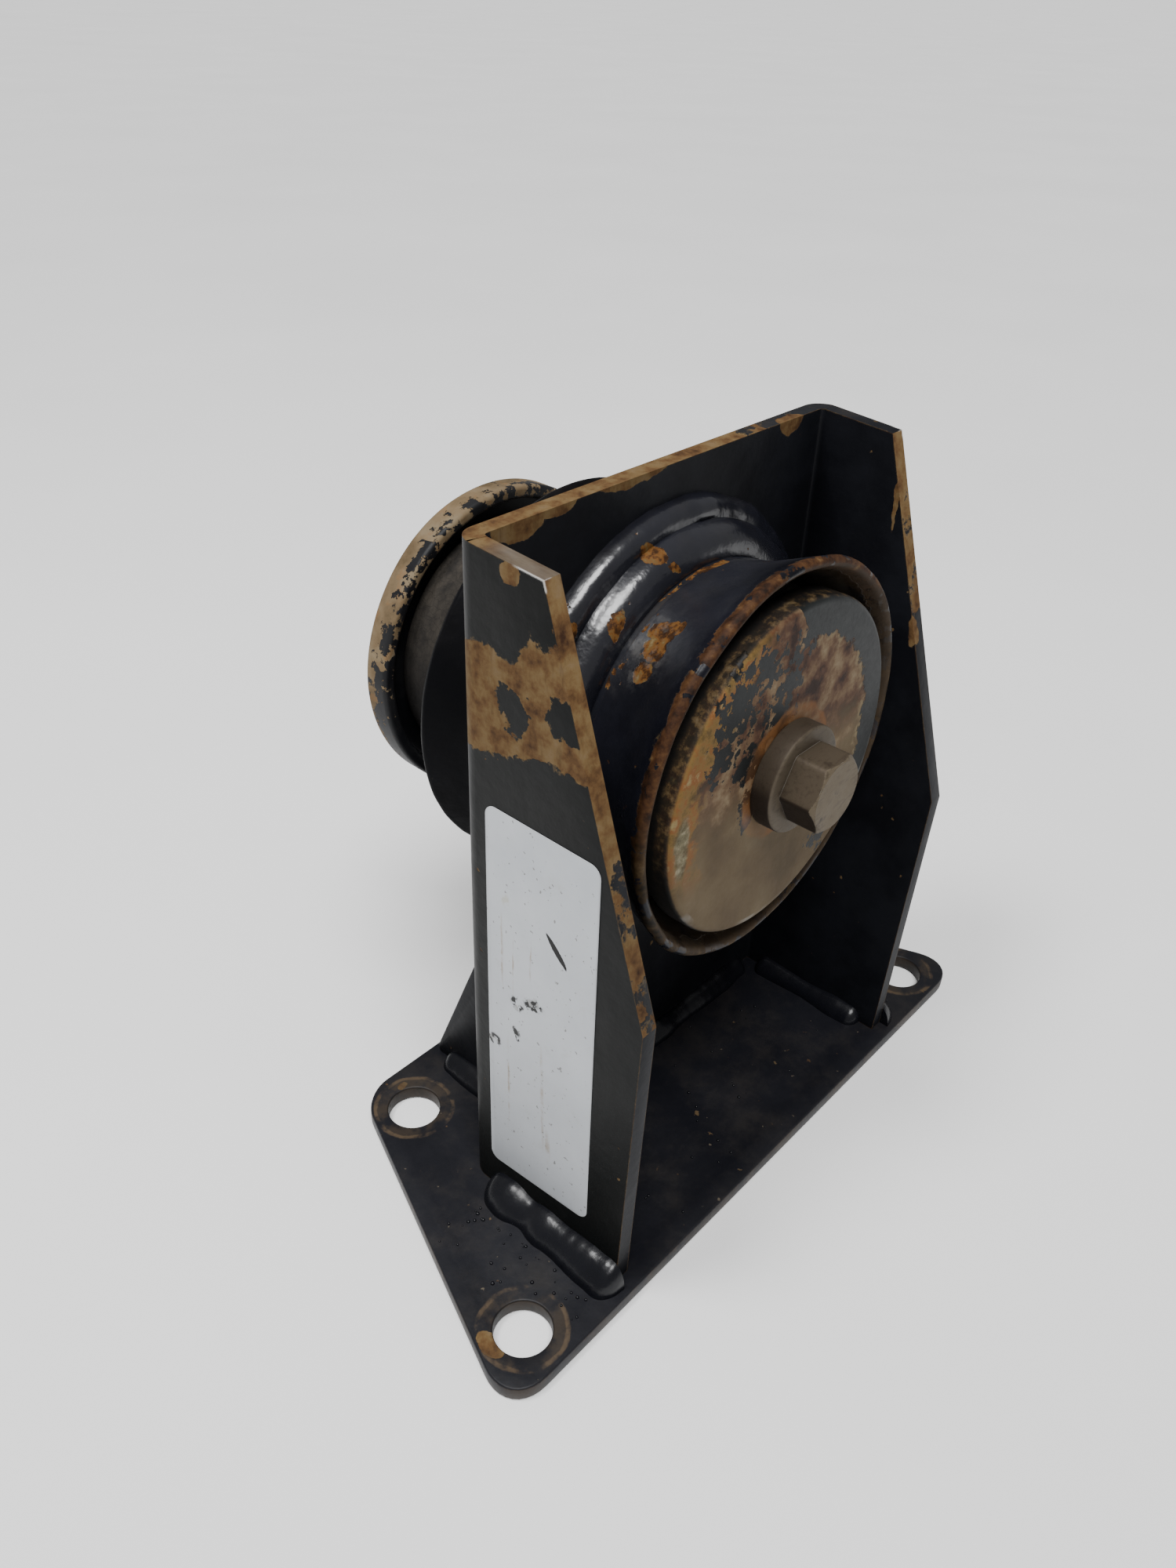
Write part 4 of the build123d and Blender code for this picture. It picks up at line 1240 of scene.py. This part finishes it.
@dataclass
class Barrel:
    """The tube through the web, its collars, ring welds and flared cups."""

    axis: Axis
    tube_r: float = 59.0
    wall: float = 5.0
    collar_r: float = 69.0
    collar_len: float = 15.5
    ring_leg: float = 6.5
    cup_start: float = 17.5
    lip_r: float = 69.3
    squeeze: float = 2.6
    lips: tuple[tuple[End, float], ...] = ((End.FRONT, 47.0), (End.REAR, 35.5))

    def build(self) -> None:
        """Both ends of the barrel."""
        patches = Patch.rows((-19.0, -9.0, 235.0, 4.0, 3.4, 3.0),
                             (-15.0, -13.0, 231.0, 2.2, 4.0, 2.6),
                             (-31.5, -26.0, 219.5, 5.0, 6.0, 4.4),
                             (-37.0, -27.0, 214.0, 4.0, 5.6, 6.0),
                             (-42.5, -27.5, 209.0, 3.4, 4.2, 5.0),
                             (-30.5, -30.5, 221.0, 3.0, 3.2, 3.0),
                             (-40.0, -15.5, 222.0, 2.8, 3.0, 5.0),
                             (-52.0, -4.0, 220.5, 2.6, 2.8, 2.4))
        paint = BarrelPaint("barrel_paint", paint=(0.0055, 0.0058, 0.0088),
                            lift=(0.0105, 0.0110, 0.0165), gloss=0.15, patches=patches, tear=6.5,
                            edge_wear=0.0, spots=0.4, dust=0.06, peel=0.08, shine=0.75,
                            axis_z=self.axis.height * MM).build()
        looks = {End.FRONT: dict(paint=(0.0038, 0.0040, 0.0062), lift=(0.0100, 0.0104, 0.0155),
                                 gloss=0.22, spots=0.4, shine=0.8, rusty=1.0, patches=patches),
                 End.REAR: dict(paint=(0.0018, 0.0018, 0.0025), lift=(0.0045, 0.0045, 0.0060),
                                gloss=0.46, spots=0.1, shine=0.06, rusty=0.0)}
        for end, lip_d in self.lips:
            name = end.name.lower()
            self.build_collar(end, name, paint)
            self.build_ring_weld(end, name, paint)
            cup_paint = CupPaint(f"{name}_cup_paint", tear=5.0, edge_wear=0.0, dust=0.05, peel=0.07,
                                 axis_z=self.axis.height * MM, lip_y=self.axis.along(lip_d, end),
                                 side=end.value, **looks[end]).build()
            self.build_cup(end, name, lip_d, cup_paint)

    def build_collar(self, end: End, name: str, finish: bpy.types.Material) -> None:
        """The stepped collar with a convex shoulder."""
        at = self.axis.along
        start, stop = (7.0, self.collar_r), (self.collar_len, self.tube_r + 1.5)
        line = [(0.0, self.tube_r), (0.0, self.collar_r), (3.5, self.collar_r + 0.1), start,
                *bow(start, (12.7, self.collar_r - 2.6), stop, 10), stop,
                (self.collar_len, self.tube_r)]
        form = self.axis.turned([(at(d, end), r) for d, r in line])
        form.sculpt(lambda p: self.axis.pushed(p, wobble(p, 17.0, 0.55) + wobble(p, 6.0, 0.16)))
        form.piece(f"{name}_collar_ring", Body.BRACKET, Slot.PAINT, finish, f"{name}_collar",
                   crease=60.0)

    def build_ring_weld(self, end: End, name: str, finish: bpy.types.Material) -> None:
        """The bead round the collar, rippled along its run."""
        leg = self.ring_leg
        section = [(leg * math.cos(a) ** 0.9, leg * math.sin(a) ** 0.9)
                   for a in (math.pi / 2 * i / 10 for i in range(11))]
        line = [(0.0, self.collar_r - 0.8), *((d + 0.3, self.collar_r + r)
                                              for d, r in section[:-1]), (0.0, self.collar_r + leg)]
        form = self.axis.turned([(self.axis.along(d, end), r) for d, r in line])
        web = self.axis.along(0.0, end)

        def ripple(p: Vector) -> Vector:
            """Scallops and a wandering toe."""
            out = Vector((p.x, 0.0, p.z - self.axis.height))
            turn = math.atan2(out.z, out.x)
            run = turn * self.collar_r
            above = out.length - self.collar_r
            if above < 0.2:
                return p
            scale = (1 + 0.02 * math.sin(FULL_TURN * run / 4.1 + 2
                                         * noise.noise(Vector((out.x / 12, out.z / 12, 3)))) + 0.14
                     * noise.noise(Vector((out.x / 16, 1.0, out.z / 16))))
            moved = out.normalized() * (self.collar_r + above * scale)
            return Vector((moved.x, web + (p.y - web) * scale, moved.z + self.axis.height))

        form.sculpt(ripple)
        form.piece(f"{name}_ring_bead", Body.BRACKET, Slot.WELD, finish, f"{name}_ring_weld",
                   crease=70.0)

    def build_cup(self, end: End, name: str, lip_d: float, finish: bpy.types.Material) -> None:
        """The cup, flared from the crease to a rounded and slightly beaten lip."""
        reach = lip_d - self.cup_start

        def at(share: float, radius: float) -> Point:
            """A point on the cup, by its share of the way to the lip."""
            return (self.cup_start + share * reach, radius)

        outer = flow([at(0, self.tube_r), at(0.32, 61.0), at(0.66, 65.0), at(1, self.lip_r)], 6)
        inner = flow([at(0, self.tube_r - self.wall), at(0.34, 56.2), at(0.70, 60.6),
                      (lip_d + 1.6, self.lip_r - 3.3)], 6)
        crest = bow(outer[-1], (lip_d + 2.1, self.lip_r - 1.2), inner[-1], 8)
        line = [*outer, *crest, *reversed(inner)]
        form = self.axis.turned([(self.axis.along(d, end), r) for d, r in line])
        start = self.axis.along(self.cup_start, end)
        squeeze = self.squeeze if end is End.FRONT else 0.0

        def beat(p: Vector) -> Vector:
            """Dents that grow towards the lip."""
            share = abs(p.y - start) / reach
            flat = -squeeze * max(0.0, -p.x / self.lip_r) ** 2
            return self.axis.pushed(p, share * (flat + wobble(p, 23.0, 0.5, 4.0)
                                                + wobble(p, 5.0, 0.14, 2.0)))

        form.sculpt(beat)
        form.piece(f"{name}_flared_cup", Body.BRACKET, Slot.CUP, finish, f"{name}_cup", crease=60.0)


@dataclass
class Core:
    """The snubber discs, washers, bolt and nut that move with the engine."""

    axis: Axis
    disc_r: float = 58.2
    disc_t: float = 5.0
    rim: float = 11.0
    bore: float = 8.6
    washer_r: float = 18.5
    washer_t: float = 7.5
    front_y: float = -52.5
    rear_y: float = 84.5
    flats: float = 24.0
    head: float = 12.2
    nut: float = 13.0
    shank: float = 8.0
    end_y: float = 118.0
    pitch: float = 2.0

    def build(self) -> None:
        """Discs first, then the fasteners."""
        discs = ((End.FRONT, self.front_y, FrontDiscFinish(axis_z=self.axis.height * MM,
                                                           disc_r=self.disc_r)),
                 (End.REAR, self.rear_y, RearDiscFinish(axis_z=self.axis.height * MM)))
        washer_finish = FastenerFinish("washer_finish", film=(0.078, 0.062, 0.043),
                                       metal=0.3).build()
        hex_finish = FastenerFinish("hexagon_finish", film=(0.105, 0.083, 0.055),
                                    metal=0.35).build()
        for end, face, finish in discs:
            self.build_disc(end, face, finish.build())
            self.build_washer(end, face, washer_finish)
        self.build_bolt(hex_finish)
        self.build_nut(hex_finish)

    def build_disc(self, end: End, face: float, finish: bpy.types.Material) -> None:
        """A pressed disc, its rim turned towards the rubber."""
        inward = -end.value
        tip, back = face + inward * self.rim, face + inward * self.disc_t
        profile = [(face, self.bore), (face, self.disc_r), (tip, self.disc_r),
                   (tip, self.disc_r - self.disc_t), (back, self.disc_r - self.disc_t),
                   (back, self.bore)]
        form = self.axis.turned(profile, {1: 2.4, 2: 1.8, 3: 1.8, 4: 1.6}, 7)

        def warp(p: Vector) -> Vector:
            """A little out of flat towards the rim."""
            share = min(1.0, Vector((p.x, p.z - self.axis.height)).length / self.disc_r) ** 2
            return Vector((p.x, p.y + share * wobble(Vector((p.x, 0, p.z)), 42.0, 0.5), p.z))

        form.sculpt(warp)
        name = end.name.lower()
        form.piece(f"{name}_pressed_disc", Body.CORE, Slot.DISC, finish, f"{name}_snubber_disc")

    def build_washer(self, end: End, face: float, finish: bpy.types.Material) -> None:
        """A thick turned washer."""
        seat = face + end.value * self.washer_t
        form = self.axis.turned([(face, self.bore), (face, self.washer_r), (seat, self.washer_r),
                                 (seat, self.bore)], {1: 0.5, 2: 1.1, 3: 0.5}, 4)
        name = end.name.lower()
        form.piece(f"{name}_thick_washer", Body.CORE, Slot.FASTENER, finish, f"{name}_washer")

    def hexagon(self, turn: float) -> float:
        """Radius of a hexagon with a corner up and slightly rounded corners, at an angle."""
        half = math.pi / 6
        off = (turn - half * 3 + half) % (2 * half) - half
        return min(self.flats / 2 / math.cos(off), self.flats / 2 / math.cos(half) - 0.28)

    def ringed(self, rings: Sequence[tuple[float, Callable[[float], float]]], closed: bool) -> Form:
        """Circles along the axis, each shaped by a radius at an angle, bridged in turn.

        Args:
            rings: each ring's Y, and its radius at an angle.
            closed: whether the last ring joins the first. Otherwise both are capped.

        Returns:
            The form.
        """
        form = Form()
        upright = Matrix.Rotation(math.pi / 2, 4, "X")
        loops = []
        for y, shape in rings:
            made = bmesh.ops.create_circle(form.bm, segments=96, radius=1.0, cap_ends=False,
                                           matrix=Matrix.Translation((0.0, y,
                                                                      self.axis.height)) @ upright)
            for vert in made["verts"]:
                turn = math.atan2(vert.co.z - self.axis.height, vert.co.x)
                r = shape(turn)
                vert.co = Vector((r * math.cos(turn), y, self.axis.height + r * math.sin(turn)))
            loops.append(list(dict.fromkeys(e for v in made["verts"] for e in v.link_edges)))
        for a, b in zip(loops, loops[1:] + (loops[:1] if closed else [])):
            bmesh.ops.bridge_loops(form.bm, edges=a + b)
        if not closed:
            bmesh.ops.holes_fill(form.bm, edges=[e for e in form.bm.edges if e.is_boundary])
        return form

    def hex_rings(self, seat: float, end: float) -> list[tuple[float, Callable[[float], float]]]:
        """Rings of a hexagon from its seat to its chamfered end."""
        out = 1.0 if end > seat else -1.0
        crown = self.flats / 2 * 0.97
        rings = [(seat, self.hexagon), (end - out * 1.7, self.hexagon)]
        for back in (1.4, 1.1, 0.8, 0.5, 0.25, 0.0):
            rings.append((end - out * back, lambda t, b=back: min(self.hexagon(t),
                                                                  crown + b * 1.5)))
        rings.append((end, lambda t: crown - 0.5))
        return rings

    def build_bolt(self, finish: bpy.types.Material) -> None:
        """The through bolt: hexagon, shank, and a real thread past the nut."""
        seat, nut_end = self.front_y - self.washer_t, self.rear_y + self.washer_t + self.nut
        head_end = seat - self.head
        rings = [(head_end, lambda t: 4.0), *reversed(self.hex_rings(seat, head_end)),
                 (seat, lambda t: self.shank), (nut_end, lambda t: self.shank - 0.1)]
        depth, count = 1.05, int((self.end_y - nut_end) / 0.25)
        for i in range(1, count + 1):
            y = nut_end + i * (self.end_y - nut_end) / count
            taper = max(0.0, y - (self.end_y - 1.4)) * 0.95

            def thread(turn: float, y: float = y, taper: float = taper) -> float:
                """A single-start V thread."""
                phase = (y / self.pitch - turn / FULL_TURN) % 1.0
                return self.shank - 0.12 - max(taper, depth * abs(2 * phase - 1))

            rings.append((y, thread))
        rings.append((self.end_y, lambda t: 4.0))
        form = self.ringed(rings, False)
        form.piece("threaded_bolt", Body.CORE, Slot.FASTENER, finish, "centre_bolt", crease=32.0)

    def build_nut(self, finish: bpy.types.Material) -> None:
        """The nut, chamfered on its outer end."""
        seat = self.rear_y + self.washer_t
        end = seat + self.nut
        bore = self.shank + 0.05
        rings = [(seat, lambda t: bore), *self.hex_rings(seat, end), (end, lambda t: bore + 0.9),
                 (end - 0.9, lambda t: bore)]
        form = self.ringed(rings, True)
        form.piece("chamfered_nut", Body.CORE, Slot.FASTENER, finish, "lock_nut", crease=32.0)


@dataclass
class Rubber:
    """The two bonded rubber cones, the rear one bulging behind its cup."""

    axis: Axis
    sleeve_r: float = 14.35
    root_r: float = 20.35
    cone_r: float = 38.35
    taper: float = 30.0

    def build(self) -> None:
        """Both cones."""
        finish = RubberFinish(axis_z=self.axis.height * MM).build()
        front_face = flow([(-38.5, 46.0), (-34.6, 53.6), (-30.5, 55.6), (-26.0, 55.0),
                           (-17.5, 53.3)], 4)
        front = [(2.5, self.sleeve_r), (-7.65, self.sleeve_r), (-7.65, self.root_r),
                 (-38.0, self.cone_r), (-38.5, self.cone_r), *front_face, (2.5, 53.65)]
        rear_face = flow([(79.15, 44.0), (77.6, 46.2), (72.0, 47.0), (63.0, 47.8), (56.0, 49.8),
                          (50.0, 53.2), (44.0, 56.0), (36.0, 55.6), (23.5, 53.3)], 5)
        rear = [(3.5, self.sleeve_r), (13.65, self.sleeve_r), (13.65, self.root_r),
                (44.0, self.cone_r), (79.15, self.cone_r), *rear_face, (3.5, 53.65)]
        for name, line in (("front", front), ("rear", rear)):
            form = self.axis.turned(line)
            form.sculpt(lambda p: self.axis.pushed(p, wobble(p, 26.0, 0.35)
                                                   if p.y < -20.0 or p.y > 46.0 else 0.0))
            form.piece(f"{name}_bonded_rubber", Body.RUBBER, Slot.RUBBER, finish, f"{name}_rubber",
                       crease=50.0)


@dataclass
class Label:
    """A blank film stuck on the left cheek."""

    face_x: float
    thick: float = 0.3
    corners: tuple[Point, ...] = ((-5.5, 177.0), (-51.2, 177.0), (-51.6, 26.0), (-5.5, 21.0))
    corner_r: float = 4.0

    def build(self) -> None:
        """The film, its corners rounded."""
        form = Form()
        form.outline([Vector((self.face_x, y, z)) for y, z in self.corners],
                     {i: self.corner_r for i in range(4)}, 8)
        form.thicken(Vector((-self.thick, 0.0, 0.0)))
        form.soften(0.1, 2)
        form.piece("blank_label", Body.BRACKET, Slot.LABEL, LabelFinish().build(), "label")


# Stage ---------------------------------------------------------------------------------


@dataclass
class Studio:
    """A pale floor, soft lights, and the camera."""

    place: Colour = (-0.2869, -0.2207, 0.3826)
    azimuth: float = -48.83
    elevation: float = 34.06
    roll: float = 2.12
    lens: float = 28.15
    floor_size: float = 40.0
    floor_drop: float = 0.0004
    sun: float = 3.4
    sun_width: float = 26.0
    sun_way: Colour = (0.26, 0.34, -1.0)
    sky: float = 0.32

    def build(self) -> None:
        """Everything that isn't part of the object."""
        self.build_floor()
        self.build_lights()
        self.build_camera()

    def build_floor(self) -> None:
        """A wide pale floor."""
        bm = bmesh.new()
        bmesh.ops.create_grid(bm, x_segments=1, y_segments=1, size=self.floor_size)
        mesh = bpy.data.meshes.new("floor")
        bm.to_mesh(mesh)
        bm.free()
        floor = bpy.data.objects.new("floor", mesh)
        floor.location.z = -self.floor_drop
        g = Graph("floor_paper")
        shade = g.ramp(g.noise(3.0, 3.0), (0.3, (0.86, 0.86, 0.86)), (0.7, (0.90, 0.90, 0.90)))
        mesh.materials.append(g.finish(shade, 0.85, g.bump(g.noise(400.0, 3.0), 0.02)))
        bpy.context.scene.collection.objects.link(floor)

    def light(self, name: str, place: Colour, aim: Colour, size: float, power: float) -> None:
        """One soft area light."""
        lamp = bpy.data.lights.new(name, "AREA")
        lamp.shape, lamp.size, lamp.energy = "DISK", size, power
        made = bpy.data.objects.new(name, lamp)
        made.location = place
        made.rotation_mode = "QUATERNION"
        made.rotation_quaternion = (Vector(aim) - Vector(place)).to_track_quat("-Z", "Y")
        bpy.context.scene.collection.objects.link(made)

    def build_lights(self) -> None:
        """A soft sun from the upper left front, a ceiling lamp and an even pale sky."""
        sun = bpy.data.lights.new("overhead", "SUN")
        sun.energy, sun.angle = self.sun, math.radians(self.sun_width)
        made = bpy.data.objects.new("overhead", sun)
        made.rotation_mode = "QUATERNION"
        made.rotation_quaternion = Vector(self.sun_way).to_track_quat("-Z", "Y")
        bpy.context.scene.collection.objects.link(made)
        self.light("ceiling", (-0.42, 0.18, 1.15), (0.0, -0.02, 0.2), 0.30, 8.0)
        world = bpy.data.worlds.new("sky")
        world.use_nodes = True
        background = world.node_tree.nodes["Background"]
        background.inputs["Color"].default_value = (1.0, 1.0, 1.0, 1.0)
        background.inputs["Strength"].default_value = self.sky
        bpy.context.scene.world = world

    def build_camera(self) -> None:
        """The camera, from its place and three angles."""
        data = bpy.data.cameras.new("camera")
        data.lens, data.clip_start, data.clip_end = self.lens, 0.02, 30.0
        camera = bpy.data.objects.new("camera", data)
        turn, lift, tilt = (math.radians(v) for v in (self.azimuth, self.elevation, self.roll))
        level_share = math.cos(lift)
        back = Vector((math.sin(turn) * level_share, -math.cos(turn) * level_share, math.sin(lift)))
        level = Vector((0.0, 0.0, 1.0)).cross(back).normalized()
        rise = back.cross(level)
        right = math.cos(tilt) * level + math.sin(tilt) * rise
        over = -math.sin(tilt) * level + math.cos(tilt) * rise
        pose = Matrix((right, over, back)).transposed().to_4x4()
        camera.matrix_world = Matrix.Translation(self.place) @ pose
        bpy.context.scene.collection.objects.link(camera)
        bpy.context.scene.camera = camera


def dress_hidden(frame: dict) -> None:
    """Gives the CAD nodes that stay as they are their own finishes.
    """
    tube = BarrelPaint("tube_paint", paint=Tone.BLUE_BLACK.value, gloss=0.35, spots=0.3,
                       edge_wear=0.2).build()
    steel = FastenerFinish("core_finish", film=(0.12, 0.10, 0.08), metal=0.6).build()
    for names, finish in ((("housing_tube",), tube),
                          (("inner_sleeve", "front_inner_cone", "rear_inner_cone"), steel)):
        for name in names:
            data = frame["nodes"][name].data
            data.materials.clear()
            data.materials.append(finish)
            LOG.info("%s: CAD shape, finish %s", name, finish.name)


def main() -> None:
    """Builds every piece in order, sized from the CAD parts."""
    logging.basicConfig(level=logging.INFO, format="%(name)s: %(message)s")
    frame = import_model()
    tube_low, tube_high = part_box("housing_tube")
    sheet_low, sheet_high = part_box("upright_channel")
    plate_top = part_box("base_plate")[1].z / MM
    axis = Axis(height=(tube_low.z + tube_high.z) / 2 / MM, web_front=0.0,
                web_back=sheet_high.y / MM)
    plates = Plates(half_width=sheet_high.x / MM, top=sheet_high.z / MM, sheet=plate_top)
    plates.build_plate()
    plates.build_upright()
    plates.build_gussets()
    Welds(half_width=sheet_high.x / MM, sheet=plate_top).build()
    Barrel(axis).build()
    Core(axis).build()
    Rubber(axis).build()
    Label(face_x=sheet_low.x / MM).build()
    dress_hidden(frame)
    Studio().build()


if __name__ == "__main__":
    main()
